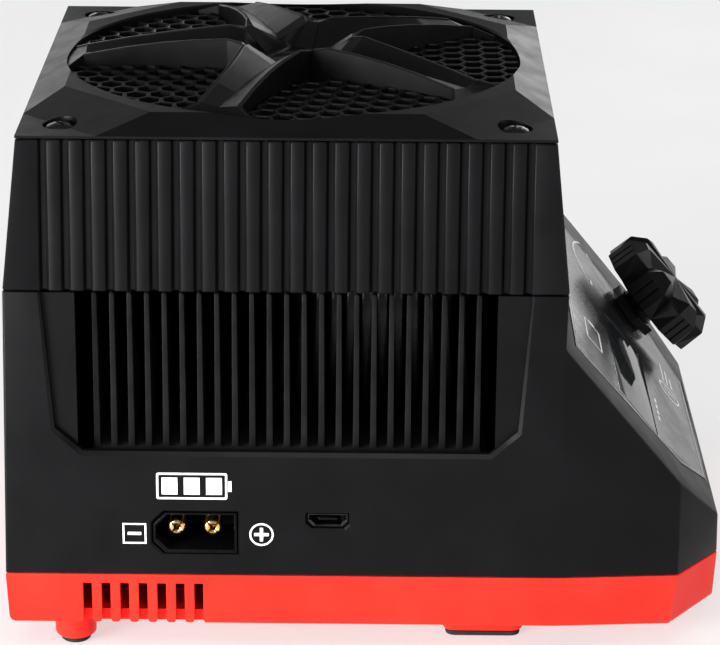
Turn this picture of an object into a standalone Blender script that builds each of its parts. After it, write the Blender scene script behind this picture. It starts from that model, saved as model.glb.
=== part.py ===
"""Balance battery charger: a bench unit with a finned load under a top fan.

Length unit in the constants is the millimetre; objects are made in metres.
X runs from the back of the case to the sloped control panel, Y from the battery
socket side to the far side, Z up.  The fan's axis stands at X = FAN_X.
"""
import math

import bmesh
import bpy
from mathutils import Matrix, Vector

MM = 0.001
NAME = "balance_battery_charger"

# ---- driving dimensions, millimetres ------------------------------------
FAN_X = -17.349         # fan axis, so that the case is centred on the origin
GAP = 0.3               # clearance between pieces that meet
Z_LEG = 1.3             # underside of the red bosses that carry the feet
Z_TRAY = 6.4            # underside of the tray
Z_SEAM = 17.4           # tray to housing
Z_SHROUD = 76.5         # housing to shroud
Z_TOP = 106.85          # outer edge of the guard
RING_H = 2.9            # rise of the guard from its outer edge to the ring
HALF_TOP = 51.75        # half width of the shroud and guard at the top
HALF_SEAM = 54.75       # half width of the shroud at its seam
REAR_BOTTOM, SIDE_BOTTOM = 55.87, 55.37
WALL = 2.0
TRAY_WALL, TRAY_FLOOR = 1.8, 1.6

GROOVES = 23            # in each face of the shroud
GROOVE_PITCH = 4.236
GROOVE_MOUTH, GROOVE_FLOOR, GROOVE_DEPTH = 1.83, 0.9, 0.9

RING_R = 46.6           # round opening of the guard
DOME_R = 209.0          # radius of the dome that the spokes' ridges lie on
HEX_PITCH, HEX_WEB = 4.75, 0.9
SCREW_AT = 43.875       # guard screws, from the fan axis, both ways

SLOPE_TOP = (54.4, 65.4)        # X, Z of the sloped panel's upper edge
SLOPE_DIR = Vector((0.6378, 0.0, -0.7702)).normalized()
SLOPE_LEN = 50.63
LABEL_TOP, LABEL_BEND, LABEL_END = (4.2, 43.5), (39.3, 38.0), (49.0, 28.0)
WINDOW_V, WINDOW_Y = (19.0, 31.3), (-38.0, 8.5)
KNOB_V, KNOB_Y = 30.3, 33.0
KNOB_R, KNOB_BASE, KNOB_TOP, KNOB_LOBES = 13.6, 4.9, 13.5, 7
PRESS = 0.5             # travel of the encoder's push switch

FIN_COUNT, FIN_PITCH = 23, 3.41
FIN_FOOT, FIN_TIP = 1.25, 0.93
SINK_Y, SINK_X = 50.0, 39.5
SINK_Z0, SINK_Z1, FIN_Z = 38.7, 42.7, 74.8

SOCKET_X, SOCKET_Z = -18.05, 26.3
SOCKET_W, SOCKET_H, SOCKET_CHAMFER = 17.1, 9.2, 2.4
PIN_PITCH, PIN_R = 7.2, 1.75
USB_X, USB_Z = 8.2, 29.1

FAN_Z0, FAN_Z1, FAN_HALF, FAN_BORE = 78.3, 103.3, 46.0, 44.5
POST_CUT = 84.6         # |x| + |y| where the shroud's corner posts begin


# ---- helpers ------------------------------------------------------------
def start():
    for obj in list(bpy.data.objects):
        bpy.data.objects.remove(obj, do_unlink=True)
    parts = bpy.data.collections.new(NAME)
    cutters = bpy.data.collections.new("cutters")
    bpy.context.scene.collection.children.link(parts)
    bpy.context.scene.collection.children.link(cutters)
    return parts, cutters


PARTS, CUTTERS = start()
MATERIALS = {}


def material(name, rgb, roughness, metallic=0.0, alpha=1.0):
    mat = bpy.data.materials.new(name)
    mat.use_nodes = True
    shader = mat.node_tree.nodes["Principled BSDF"]
    shader.inputs["Base Color"].default_value = (*rgb, 1.0)
    shader.inputs["Roughness"].default_value = roughness
    shader.inputs["Metallic"].default_value = metallic
    shader.inputs["Alpha"].default_value = alpha
    mat.diffuse_color = (*rgb, alpha)
    MATERIALS[name] = mat


def finish(name, mesh, slot, matrix=None):
    """Put a mesh in the scene as a part, with its place in matrix (millimetres)."""
    obj = bpy.data.objects.new(name, mesh)
    PARTS.objects.link(obj)
    place(obj, matrix)
    mesh.materials.clear()
    mesh.materials.append(MATERIALS[slot])
    mesh.shade_smooth()
    mesh.set_sharp_from_angle(angle=math.radians(32))
    return obj


def place(obj, matrix):
    if matrix is None:
        matrix = Matrix()
    move = Matrix.Translation(Vector((FAN_X * MM, 0.0, 0.0)))
    local = matrix.copy()
    local.translation = local.translation * MM
    obj.matrix_world = move @ local


def to_mesh(bm, name):
    bmesh.ops.recalc_face_normals(bm, faces=bm.faces)
    for vert in bm.verts:
        vert.co *= MM
    mesh = bpy.data.meshes.new(name)
    bm.to_mesh(mesh)
    bm.free()
    return mesh


def box_mesh(name, lo, hi):
    bm = bmesh.new()
    bmesh.ops.create_cube(bm, size=1.0)
    size = [b - a for a, b in zip(lo, hi)]
    mid = [(a + b) / 2 for a, b in zip(lo, hi)]
    bmesh.ops.scale(bm, vec=size, verts=bm.verts)
    bmesh.ops.translate(bm, vec=mid, verts=bm.verts)
    return to_mesh(bm, name)


def rod_mesh(name, radius, z0, z1, at=(0.0, 0.0), segments=24, radius_top=None):
    bm = bmesh.new()
    bmesh.ops.create_cone(bm, cap_ends=True, segments=segments, radius1=radius,
                          radius2=radius if radius_top is None else radius_top, depth=z1 - z0)
    bmesh.ops.translate(bm, vec=(at[0], at[1], (z0 + z1) / 2), verts=bm.verts)
    return to_mesh(bm, name)


def loft_mesh(name, rings, cap_start=True, cap_end=True):
    """Skin a row of closed rings that have the same number of points."""
    bm = bmesh.new()
    rows = [[bm.verts.new(p) for p in ring] for ring in rings]
    count = len(rows[0])
    for lower, upper in zip(rows, rows[1:]):
        for i in range(count):
            j = (i + 1) % count
            bm.faces.new((lower[i], lower[j], upper[j], upper[i]))
    if cap_start:
        bm.faces.new(list(reversed(rows[0])))
    if cap_end:
        bm.faces.new(rows[-1])
    return to_mesh(bm, name)


def plate_mesh(name, loops, z0, z1):
    """Fill a flat outline with holes, as a 2D curve, and give it thickness."""
    curve = bpy.data.curves.new(name, "CURVE")
    curve.dimensions = "2D"
    curve.fill_mode = "BOTH"
    curve.extrude = (z1 - z0) / 2 * MM
    for loop in loops:
        spline = curve.splines.new("POLY")
        spline.points.add(len(loop) - 1)
        for point, (x, y) in zip(spline.points, loop):
            point.co = (x * MM, y * MM, 0.0, 1.0)
        spline.use_cyclic_u = True
    obj = bpy.data.objects.new(name, curve)
    bpy.context.scene.collection.objects.link(obj)
    depsgraph = bpy.context.evaluated_depsgraph_get()
    mesh = bpy.data.meshes.new_from_object(obj.evaluated_get(depsgraph))
    bpy.data.objects.remove(obj, do_unlink=True)
    bpy.data.curves.remove(curve)
    bm = bmesh.new()
    bm.from_mesh(mesh)
    bmesh.ops.remove_doubles(bm, verts=bm.verts, dist=1e-6)
    bmesh.ops.translate(bm, vec=(0.0, 0.0, (z0 + z1) / 2 * MM), verts=bm.verts)
    bmesh.ops.recalc_face_normals(bm, faces=bm.faces)
    bm.to_mesh(mesh)
    bm.free()
    return mesh


def tool(mesh, matrix=None):
    obj = bpy.data.objects.new("cut_" + mesh.name, mesh)
    CUTTERS.objects.link(obj)
    place(obj, matrix)
    obj.hide_render = True
    obj.display_type = "WIRE"
    return obj


def boolean(obj, operation, *tools):
    for other in tools:
        mod = obj.modifiers.new(operation.lower() + "_" + other.name, "BOOLEAN")
        mod.operation = operation
        mod.object = other
        mod.solver = "EXACT"


def cut(obj, *tools):
    boolean(obj, "DIFFERENCE", *tools)


def join(obj, *tools):
    boolean(obj, "UNION", *tools)


def merged(name, meshes):
    """Several separate closed shapes as one cutter."""
    bm = bmesh.new()
    for mesh in meshes:
        bm.from_mesh(mesh)
        bpy.data.meshes.remove(mesh)
    mesh = bpy.data.meshes.new(name)
    bm.to_mesh(mesh)
    bm.free()
    return mesh


def arc(radius, a0, a1, steps, centre=(0.0, 0.0)):
    angles = [math.radians(a0 + (a1 - a0) * i / steps) for i in range(steps + 1)]
    return [(centre[0] + radius * math.cos(a), centre[1] + radius * math.sin(a)) for a in angles]


def rounded_box(x0, y0, x1, y1, radius, steps=3):
    corners = ((x1 - radius, y1 - radius, 0), (x0 + radius, y1 - radius, 90),
               (x0 + radius, y0 + radius, 180), (x1 - radius, y0 + radius, 270))
    return [p for cx, cy, a in corners for p in arc(radius, a, a + 90, steps, (cx, cy))]


def both_sides(points):
    """Near-side points (Y below zero), run along and back on the far side."""
    return list(points) + [(p[0], -p[1], *p[2:]) for p in reversed(points)]


ALONG_Y = Matrix.Rotation(math.radians(90), 4, "X")      # local Z becomes -Y, local Y becomes Z


def panel_matrix(v, y):
    """Frame on the sloped panel: local X is down the slope, local Z is outwards."""
    down = SLOPE_DIR
    out = Vector((-down.z, 0.0, down.x))
    side = out.cross(down)
    origin = Vector((SLOPE_TOP[0], 0.0, SLOPE_TOP[1])) + down * v + Vector((0.0, y, 0.0))
    matrix = Matrix((down, side, out)).transposed().to_4x4()
    matrix.translation = origin
    return matrix


# ---- materials ----------------------------------------------------------
material("black_housing", (0.022, 0.023, 0.025), 0.48)
material("red_tray", (0.80, 0.045, 0.028), 0.42)
material("rubber", (0.012, 0.012, 0.012), 0.85)
material("black_metal", (0.018, 0.018, 0.02), 0.42, 0.6)
material("screw_steel", (0.05, 0.05, 0.055), 0.3, 0.9)
material("gold", (0.85, 0.58, 0.22), 0.22, 1.0)
material("steel", (0.55, 0.56, 0.58), 0.3, 1.0)
material("board_green", (0.02, 0.14, 0.06), 0.5)
material("socket_black", (0.012, 0.012, 0.013), 0.4)
material("fan_black", (0.015, 0.015, 0.016), 0.5)
material("label_gloss", (0.02, 0.021, 0.024), 0.15)
material("window_clear", (0.05, 0.06, 0.06), 0.05, 0.0, 0.45)
material("display_grey", (0.18, 0.24, 0.16), 0.4)
material("knob_black", (0.03, 0.03, 0.032), 0.45)
material("component_black", (0.02, 0.02, 0.02), 0.5)
material("shunt_metal", (0.45, 0.42, 0.38), 0.35, 0.9)


# ---- base tray and feet -------------------------------------------------
def tray_ring(z):
    t = (z - Z_TRAY) / (Z_SEAM - Z_TRAY)
    near = ((-55.4 - 0.47 * t, -54.7 - 0.67 * t, z), (53.5 + 0.5 * t, -54.7 - 0.67 * t, z),
            (76.7 + 1.2 * t, -52.9 - 0.5 * t, z), (86.8 + 0.3 * t, -38.8 - 2.3 * t, z))
    return both_sides(near)


REAR_FOOT = (-42.9, 48.0)
FRONT_FOOT = (31.5, 38.4, 47.9, 46.4)
BASE_SCREWS = ((-50.2, -30.0), (-50.2, 30.0), (60.0, -49.6), (60.0, 49.6))
STANDOFFS = ((-38.0, -36.0), (-38.0, 36.0), (44.0, -30.0), (44.0, 30.0))


def build_tray():
    mesh = loft_mesh("base_tray", [tray_ring(Z_TRAY), tray_ring(Z_SEAM - GAP / 2)], cap_end=False)
    tray = finish("base_tray", mesh, "red_tray")
    bevel = tray.modifiers.new("edges", "BEVEL")
    bevel.width = 1.5 * MM
    bevel.segments = 2
    bevel.limit_method = "ANGLE"
    bevel.angle_limit = math.radians(50)
    shell = tray.modifiers.new("wall", "SOLIDIFY")
    shell.thickness = TRAY_WALL * MM
    shell.offset = -1.0
    shell.use_even_offset = True
    tray.modifiers.new("flat_faces", "TRIANGULATE")
    posts = []
    for side in (-1, 1):
        posts.append(rod_mesh("leg", 4.15, Z_LEG, Z_TRAY + 1.0, (REAR_FOOT[0], side * REAR_FOOT[1])))
        x0, y0, x1, y1 = FRONT_FOOT
        lo, hi = sorted((side * y0, side * y1))
        posts.append(plate_mesh("leg", [rounded_box(x0, lo, x1, hi, 2.4)], Z_LEG, Z_TRAY + 1.0))
    for at in STANDOFFS:
        posts.append(rod_mesh("standoff", 3.0, Z_TRAY + 0.8, 19.5, at, 16))
    for at in BASE_SCREWS:
        posts.append(rod_mesh("boss", 4.2, Z_TRAY + 0.8, Z_SEAM - 0.45, at))
    join(tray, tool(merged("tray_posts", posts)))
    holes = []
    for at in BASE_SCREWS:
        holes.append(rod_mesh("hole", 1.75, Z_TRAY + 3.0, Z_SEAM + 2.0, at, 16))
        holes.append(rod_mesh("sink", 3.2, Z_TRAY - 2.0, Z_TRAY + 4.0, at))
    joined = [tool(m) for m in holes]
    cut(tray, *joined)
    slots = []
    for side in (-1, 1):
        for i in range(7):
            x = -40.6 + 3.7 * i + 0.9
            lo, hi = sorted((side * 53.0, side * 57.0))
            slots.append(box_mesh("slot", (x - 0.92, lo, Z_TRAY - 1.0), (x + 0.92, hi, 15.4)))
    cut(tray, tool(merged("tray_slots", slots)))


def build_feet():
    for side, word in ((-1, "left"), (1, "right")):
        mesh = rod_mesh("foot", 3.0, 0.0, Z_LEG - GAP, (0.0, 0.0))
        finish("foot_rear_" + word, mesh, "rubber",
               Matrix.Translation((REAR_FOOT[0], side * REAR_FOOT[1], 0.0)))
        x0, y0, x1, y1 = FRONT_FOOT
        half_x, half_y = (x1 - x0) / 2 - 0.6, (y1 - y0) / 2 - 0.6
        mesh = plate_mesh("foot", [rounded_box(-half_x, -half_y, half_x, half_y, 2.0)],
                          0.0, Z_LEG - GAP)
        finish("foot_front_" + word, mesh, "rubber",
               Matrix.Translation(((x0 + x1) / 2, side * (y0 + y1) / 2, 0.0)))


def build_base_screws():
    for i, at in enumerate(BASE_SCREWS):
        mesh = rod_mesh("base_screw", 1.4, 1.5, 20.0, segments=12)
        screw = finish("base_screw_%d" % (i + 1), mesh, "screw_steel",
                       Matrix.Translation((at[0], at[1], Z_TRAY + 1.2)))
        head = tool(rod_mesh("head", 2.8, 0.0, 2.2, segments=20), Matrix.Translation((at[0], at[1], Z_TRAY + 1.2)))
        join(screw, head)


# ---- lower housing ------------------------------------------------------
def side_y(z):
    return SIDE_BOTTOM - (SIDE_BOTTOM - HALF_SEAM) * (z - Z_SEAM) / (Z_SHROUD - Z_SEAM)


def housing_shell():
    zb, zs = Z_SEAM + GAP / 2, Z_SHROUD - GAP / 2
    px, pz = SLOPE_TOP
    knee = (77.75, 37.2)
    nose = (86.7, 26.4)
    bm = bmesh.new()
    verts = {}
    for s, tag in ((-1, "n"), (1, "f")):
        points = {"a0": (-REAR_BOTTOM, s * SIDE_BOTTOM, zb), "a1": (54.0, s * SIDE_BOTTOM, zb),
                  "a2": (77.9, s * 53.4, zb), "a3": (87.1, s * 41.1, zb),
                  "t0": (-HALF_SEAM, s * HALF_SEAM, zs), "t1": (54.6, s * HALF_SEAM, zs),
                  "p2": (px, s * side_y(pz), pz), "p3": (knee[0], s * 53.4, knee[1]),
                  "pc": (nose[0], s * 43.2, nose[1])}
        for key, co in points.items():
            verts[key + tag] = bm.verts.new(co)
    loops = []
    for tag in "nf":
        loops += [["a0", "a1", "p2", "t1", "t0"], ["a1", "a2", "p3", "p2"], ["a2", "a3", "pc", "p3"]]
        loops[-3:] = [[k + tag for k in loop] for loop in loops[-3:]]
    loops += [["a3n", "a3f", "pcf", "pcn"], ["p2n", "p3n", "pcn", "pcf", "p3f", "p2f"],
              ["p2n", "p2f", "t1f", "t1n"], ["a0f", "a0n", "t0n", "t0f"]]
    for loop in loops:
        bm.faces.new([verts[k] for k in loop])
    return to_mesh(bm, "lower_housing")


def label_outline(grow=0.0):
    near = [(LABEL_TOP[0] - grow, -LABEL_TOP[1] - grow), (LABEL_BEND[0], -LABEL_BEND[1] - grow * 1.1),
            (LABEL_END[0] + grow, -LABEL_END[1] - grow * 0.5)]
    return both_sides(near)


def window_outline(grow=0.0):
    return rounded_box(WINDOW_V[0] - grow, WINDOW_Y[0] - grow, WINDOW_V[1] + grow, WINDOW_Y[1] + grow, 0.8, 2)


def socket_outline(shrink=0.0):
    w, h, c = SOCKET_W / 2 - shrink, SOCKET_H / 2 - shrink, SOCKET_CHAMFER
    return [(-w, -h + c), (-w + c, -h), (w, -h), (w, h), (-w + c, h), (-w, h - c)]


def usb_outline(shrink=0.0):
    w, h = 4.2 - shrink, 1.6 - shrink
    return [(-w + 1.0, -h), (w - 1.0, -h), (w, -h + 1.0), (w, h), (-w, h), (-w, -h + 1.0)]


def build_housing():
    housing = finish("lower_housing", housing_shell(), "black_housing")
    shell = housing.modifiers.new("wall", "SOLIDIFY")
    shell.thickness = WALL * MM
    shell.offset = -1.0
    shell.use_even_offset = True
    housing.modifiers.new("flat_faces", "TRIANGULATE")
    window = [(-47.6, Z_SHROUD + 3.0), (-47.6, Z_SHROUD), (-45.4, 48.2), (-40.0, 43.4), (40.0, 43.4),
              (45.4, 48.2), (47.6, Z_SHROUD), (47.6, Z_SHROUD + 3.0)]
    for s in (-1, 1):
        lo, hi = sorted((s * 50.0, s * 58.0))
        cut(housing, tool(plate_mesh("window", [window], -hi, -lo), ALONG_Y))
    # inner ledges that frame the windows, shelves for the heat sink, screw posts
    inner = []
    for s in (-1, 1):
        for x0, x1 in ((-53.4, -41.0), (41.0, 53.0)):
            lo, hi = sorted((s * 53.3, s * 51.4))
            inner.append(box_mesh("ledge", (x0, lo, 42.0), (x1, hi, Z_SHROUD - 0.6)))
        lo, hi = sorted((s * 53.6, s * 47.0))
        inner.append(box_mesh("shelf", (-36.0, lo, 36.4), (36.0, hi, SINK_Z0 - GAP)))
        lo, hi = sorted((s * 41.3, s * 42.8))
        inner.append(box_mesh("duct_wall", (lo, -51.6, 22.6), (hi, 51.6, Z_SHROUD - 0.3)))
    for x, y in BASE_SCREWS:
        inner.append(rod_mesh("post", 4.2, Z_SEAM + 0.5, 34.0, (x, y)))
    for mesh in inner:
        join(housing, tool(mesh))
    for x, y in BASE_SCREWS:
        cut(housing, tool(rod_mesh("pilot", 1.7, Z_SEAM - 2.0, 31.5, (x, y), 12)))
    at = Matrix.Translation((SOCKET_X, -50.0, SOCKET_Z)) @ ALONG_Y
    cut(housing, tool(plate_mesh("socket_hole", [socket_outline()], 0.0, 9.0), at))
    at = Matrix.Translation((USB_X, -50.0, USB_Z)) @ ALONG_Y
    cut(housing, tool(plate_mesh("usb_hole", [usb_outline()], 0.0, 9.0), at))
    base = panel_matrix(0.0, 0.0)
    cut(housing, tool(plate_mesh("label_recess", [label_outline(GAP)], -0.7, 3.0), base))
    cut(housing, tool(plate_mesh("window_hole", [window_outline(GAP)], -5.0, 3.0), base))
    cut(housing, tool(rod_mesh("encoder_hole", 4.6, -5.0, 3.0), panel_matrix(KNOB_V, KNOB_Y)))


# ---- fan shroud ---------------------------------------------------------
def grooved_ring(half, z):
    """Square outline with the same grooves in every face, scaled to its half width."""
    scale = half / HALF_SEAM
    side = [(half, -half)]
    for i in range(GROOVES):
        y = (i - (GROOVES - 1) / 2) * GROOVE_PITCH * scale
        m, f = GROOVE_MOUTH / 2 * scale, GROOVE_FLOOR / 2 * scale
        side += [(half, y - m), (half - GROOVE_DEPTH, y - f), (half - GROOVE_DEPTH, y + f), (half, y + m)]
    ring = []
    for quarter in range(4):
        c, s = ((1, 0), (0, 1), (-1, 0), (0, -1))[quarter]
        ring += [(x * c - y * s, x * s + y * c, z) for x, y in side]
    return ring


def octagon(half, corner):
    k = corner - half
    return [(half, -k), (half, k), (k, half), (-k, half), (-half, k), (-half, -k), (-k, -half), (k, -half)]


RIM_Z = Z_TOP - 0.5         # underside of the guard's thin rim


def build_shroud():
    z0, z1 = Z_SHROUD + GAP / 2, RIM_Z - GAP
    shroud = finish("fan_shroud", loft_mesh("fan_shroud", [grooved_ring(HALF_SEAM, z0),
                                                          grooved_ring(HALF_TOP, z1)]), "black_housing")
    well = [[(x, y, FAN_Z0 - GAP) for x, y in octagon(50.6, POST_CUT)],
            [(x, y, z1 + 1.0) for x, y in octagon(48.4, POST_CUT)]]
    cut(shroud, tool(loft_mesh("well", well)))
    cut(shroud, tool(rod_mesh("throat", 44.5, Z_SHROUD - 1.0, FAN_Z0 + 2.0, segments=48)))
    for sx in (-1, 1):
        for sy in (-1, 1):
            at = (sx * SCREW_AT, sy * SCREW_AT)
            cut(shroud, tool(rod_mesh("seat", 4.2, 103.4, z1 + 1.0, at)))
            cut(shroud, tool(rod_mesh("pilot", 1.8, 90.0, 104.0, at, 12)))


# ---- guard --------------------------------------------------------------
def dome(radius):
    return (RING_R ** 2 - radius ** 2) / (2 * DOME_R)


Z_RING = Z_TOP + RING_H
PLATE_Z = Z_TOP - 1.0
TAN36 = math.tan(math.radians(36))
SPOKE = ((13.4, 5.6, 1.15), (20.0, 4.6, 1.25), (27.0, 3.95, 1.15), (34.0, 3.7, 0.75), (42.9, 3.7, 0.0))
RIM = 0.9               # width of a spoke outside its ridges


def spoke_width(s):
    """Half width between the ridges at a distance out along the spoke."""
    for (s0, w0, _), (s1, w1, _) in zip(SPOKE, SPOKE[1:]):
        if s <= s1:
            return w0 + (w1 - w0) * (s - s0) / (s1 - s0)
    return SPOKE[-1][1]


def spoke_rings():
    """Sections of one V-shaped spoke along +X, ridge to ridge.

    Each section is (distance out, half width between ridges, half width, ridge, valley).
    Up to the apex of the openings the spokes reach just past the middle of the opening,
    so that neighbours run into each other.
    """
    lap = 0.06
    stations = [(4.0, 4.0 * TAN36 - 0.2, 4.0 * TAN36 + lap, -0.3, -0.32),
                (6.2, 6.2 * TAN36 - 0.2, 6.2 * TAN36 + lap, 0.06, 0.0),
                (10.3, 5.75, 10.3 * TAN36 + lap, 4.0, 0.8)]
    for s, w, valley in SPOKE:
        stations.append((s, w, w + RIM, dome(math.hypot(s, w)), valley))
    stations.append((46.9, 8.8, 8.8 + RIM, -1.0, -1.02))
    low = PLATE_Z - Z_RING + 0.15
    rings = []
    for s, w, edge, ridge, valley in stations:
        rings.append([(s, -edge, Z_RING + ridge), (s, -w, Z_RING + ridge), (s, 0.0, Z_RING + valley),
                      (s, w, Z_RING + ridge), (s, edge, Z_RING + ridge), (s, edge, Z_RING + low),
                      (s, -edge, Z_RING + low)])
    return rings


def wedge_rings():
    """Facet that climbs from the hub to the inner corner of an opening, along +X."""
    return [[(x, -w, PLATE_Z + 0.1), (x, w, PLATE_Z + 0.1), (x, w, Z_RING + h), (x, -w, Z_RING + h)]
            for x, w, h in ((5.9, 2.05, 0.02), (11.9, 1.3, 4.15), (12.7, 1.15, 4.0))]


def build_guard():
    square = [(x * HALF_TOP, y * HALF_TOP) for x, y in ((-1, -1), (1, -1), (1, 1), (-1, 1))]
    guard = finish("fan_guard", plate_mesh("fan_guard", [square], RIM_Z, Z_TOP), "black_housing")
    join(guard, tool(plate_mesh("plate", [octagon(48.1, POST_CUT - GAP)], PLATE_Z, Z_TOP - 0.2)))
    outer = [(x, y, Z_TOP - 0.3) for x, y in octagon(HALF_TOP - 0.01, HALF_TOP + 36.4)]
    low = [(x, y, Z_TOP) for x, y in octagon(HALF_TOP - 0.01, HALF_TOP + 36.4)]
    ring = [(x, y, Z_RING) for x, y in octagon(44.6, 44.6 + 26.3)]
    join(guard, tool(loft_mesh("facets", [outer, low, ring])))
    for sx in (-1, 1):
        for sy in (-1, 1):
            join(guard, tool(rod_mesh("boss", 3.85, 103.7, Z_TOP - 0.2, (sx * SCREW_AT, sy * SCREW_AT))))
    cut(guard, tool(rod_mesh("opening", RING_R, PLATE_Z - 2.0, Z_RING + 2.0, segments=80)))
    pentagon = arc(7.5, 0, 288, 4)
    spokes = []
    for k in range(5):
        turn = Matrix.Rotation(math.radians(36 + 72 * k), 4, "Z")
        spokes.append(tool(loft_mesh("spoke", spoke_rings()), turn))
    join(guard, *spokes)
    join(guard, tool(plate_mesh("hub", [pentagon], PLATE_Z + 0.05, Z_RING)))
    for k in range(5):
        join(guard, tool(loft_mesh("wedge", wedge_rings()), Matrix.Rotation(math.radians(72 * k), 4, "Z")))
    for sx in (-1, 1):
        for sy in (-1, 1):
            at = (sx * SCREW_AT, sy * SCREW_AT)
            cut(guard, tool(rod_mesh("counterbore", 3.4, Z_TOP - 1.6, Z_RING + 1.0, at)))
            cut(guard, tool(rod_mesh("hole", 1.8, 102.0, Z_TOP - 0.9, at, 12)))


def screen_loops():
    """Outline of one screen and the hexagonal holes that lie wholly inside it."""
    def inside(x, y, margin):
        if math.hypot(x, y) > RING_R - 0.6 - margin:
            return False
        a = math.radians(36)
        along, off = x * math.cos(a) + abs(y) * math.sin(a), x * math.sin(a) - abs(y) * math.cos(a)
        width = spoke_width(along) + RIM + 0.4
        if along > 42.9:
            width += 4.5 * (along - 42.9) / 3.5
        return off > width + margin and x > 14.0 + margin

    radius = (HEX_PITCH - HEX_WEB) / math.sqrt(3)
    holes = []
    rows = int(50 / HEX_PITCH)
    for i in range(0, 14):
        for j in range(-rows, rows + 1):
            x = 16.2 + i * HEX_PITCH * math.sqrt(3) / 2
            y = (j + (i % 2) / 2) * HEX_PITCH
            cell = arc(radius, 0, 300, 5, (x, y))
            if all(inside(px, py, 0.35) for px, py in cell):
                holes.append(cell)
    edge = []
    for deg in range(-25, 26, 5):
        a = math.radians(deg)
        edge.append(((RING_R - 0.4) * math.cos(a), (RING_R - 0.4) * math.sin(a)))
    def corner(along, width):
        a = math.radians(36)
        return (along * math.cos(a) + width * math.sin(a), along * math.sin(a) - width * math.cos(a))
    upper = [corner(42.6, 5.1), corner(34.0, 5.05), corner(27.0, 5.3), corner(20.0, 5.95), corner(15.0, 6.8)]
    outline = edge + upper + [(x, -y) for x, y in reversed(upper)]
    return [outline] + holes


def build_screens():
    loops = screen_loops()
    top = Z_RING - 1.2
    mesh = plate_mesh("guard_screen", loops, top - 1.2, top)
    for k in range(5):
        finish("guard_screen_%d" % (k + 1), mesh.copy(), "black_housing",
               Matrix.Rotation(math.radians(72 * k), 4, "Z"))
    bpy.data.meshes.remove(mesh)


def build_guard_screws():
    number = 0
    for sx in (-1, 1):
        for sy in (-1, 1):
            number += 1
            at = Matrix.Translation((sx * SCREW_AT, sy * SCREW_AT, Z_TOP - 1.3))
            profile = [(0.0, 1.75), (1.0, 1.7), (2.1, 1.3), (2.95, 0.5), (2.95, 0.0), (1.5, 0.0),
                       (1.5, -12.0), (0.0, -12.0)]
            bm = bmesh.new()
            verts = [bm.verts.new((r, 0.0, z)) for r, z in profile]
            for a, b in zip(verts, verts[1:]):
                bm.edges.new((a, b))
            mesh = to_mesh(bm, "guard_screw")
            screw = finish("guard_screw_%d" % number, mesh, "screw_steel", at)
            turn = screw.modifiers.new("turn", "SCREW")
            turn.steps = turn.render_steps = 16
            turn.angle = math.radians(360)
            turn.use_merge_vertices = True
            turn.merge_threshold = 1e-5
            slot = merged("cross", [box_mesh("a", (-1.5, -0.3, 0.9), (1.5, 0.3, 2.5)),
                                    box_mesh("b", (-0.3, -1.5, 0.9), (0.3, 1.5, 2.5))])
            for piece in (("a", (-1.5, -0.3, 0.9), (1.5, 0.3, 2.5)), ("b", (-0.3, -1.5, 0.9), (0.3, 1.5, 2.5))):
                cut(screw, tool(box_mesh(*piece), at))
            bpy.data.meshes.remove(slot)


# ---- fan ----------------------------------------------------------------
def build_fan():
    outline = [octagon(FAN_HALF, POST_CUT - 0.6)]
    frame = finish("fan_frame", plate_mesh("fan_frame", outline, FAN_Z0, FAN_Z1), "fan_black")
    cut(frame, tool(rod_mesh("bore", FAN_BORE, FAN_Z0 - 1.0, FAN_Z1 + 1.0, segments=48)))
    struts = [box_mesh("strut", (-45.2, -1.6, FAN_Z0 + 0.2), (45.2, 1.6, FAN_Z0 + 2.8)),
              box_mesh("strut", (-1.6, -45.2, FAN_Z0 + 0.2), (1.6, 45.2, FAN_Z0 + 2.8))]
    for mesh in struts:
        join(frame, tool(mesh))
    join(frame, tool(rod_mesh("motor_cup", 18.0, FAN_Z0 + 0.1, FAN_Z0 + 3.0, segments=32)))
    cut(frame, tool(rod_mesh("bearing", 2.4, FAN_Z0 - 1.0, FAN_Z0 + 4.0, segments=16)))

    base = FAN_Z0 + 3.5
    hub = rod_mesh("fan_rotor", 19.0, 0.0, 20.0, segments=36, radius_top=18.4)
    rotor = finish("fan_rotor", hub, "fan_black", Matrix.Translation((0.0, 0.0, base)))
    join(rotor, tool(rod_mesh("spindle", 2.0, -3.0, 0.5, segments=16), Matrix.Translation((0.0, 0.0, base))))
    for k in range(7):
        rings = []
        for i in range(5):
            r = 17.0 + (43.2 - 17.0) * i / 4
            pitch = math.radians(52 - 22 * i / 4)
            sweep = math.radians(6 * i)
            chord = (13.0 + 7.0 * i / 4) / 2
            ring = []
            for u, t in ((-1, -0.75), (0, -0.75), (1, -0.75), (1, 0.75), (0, 0.75), (-1, 0.75)):
                bow = 1.4 * (1 - u * u)
                x, z = u * chord * math.cos(pitch) - (t + bow) * math.sin(pitch), \
                    u * chord * math.sin(pitch) + (t + bow) * math.cos(pitch)
                x = max(-8.5, min(8.5, x))
                angle = sweep + x / r
                ring.append((r * math.cos(angle), r * math.sin(angle), 9.5 + max(-8.6, min(8.6, z))))
            rings.append(ring)
        turn = Matrix.Translation((0.0, 0.0, base)) @ Matrix.Rotation(math.radians(360 / 7 * k), 4, "Z")
        join(rotor, tool(loft_mesh("blade", rings), turn))


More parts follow.
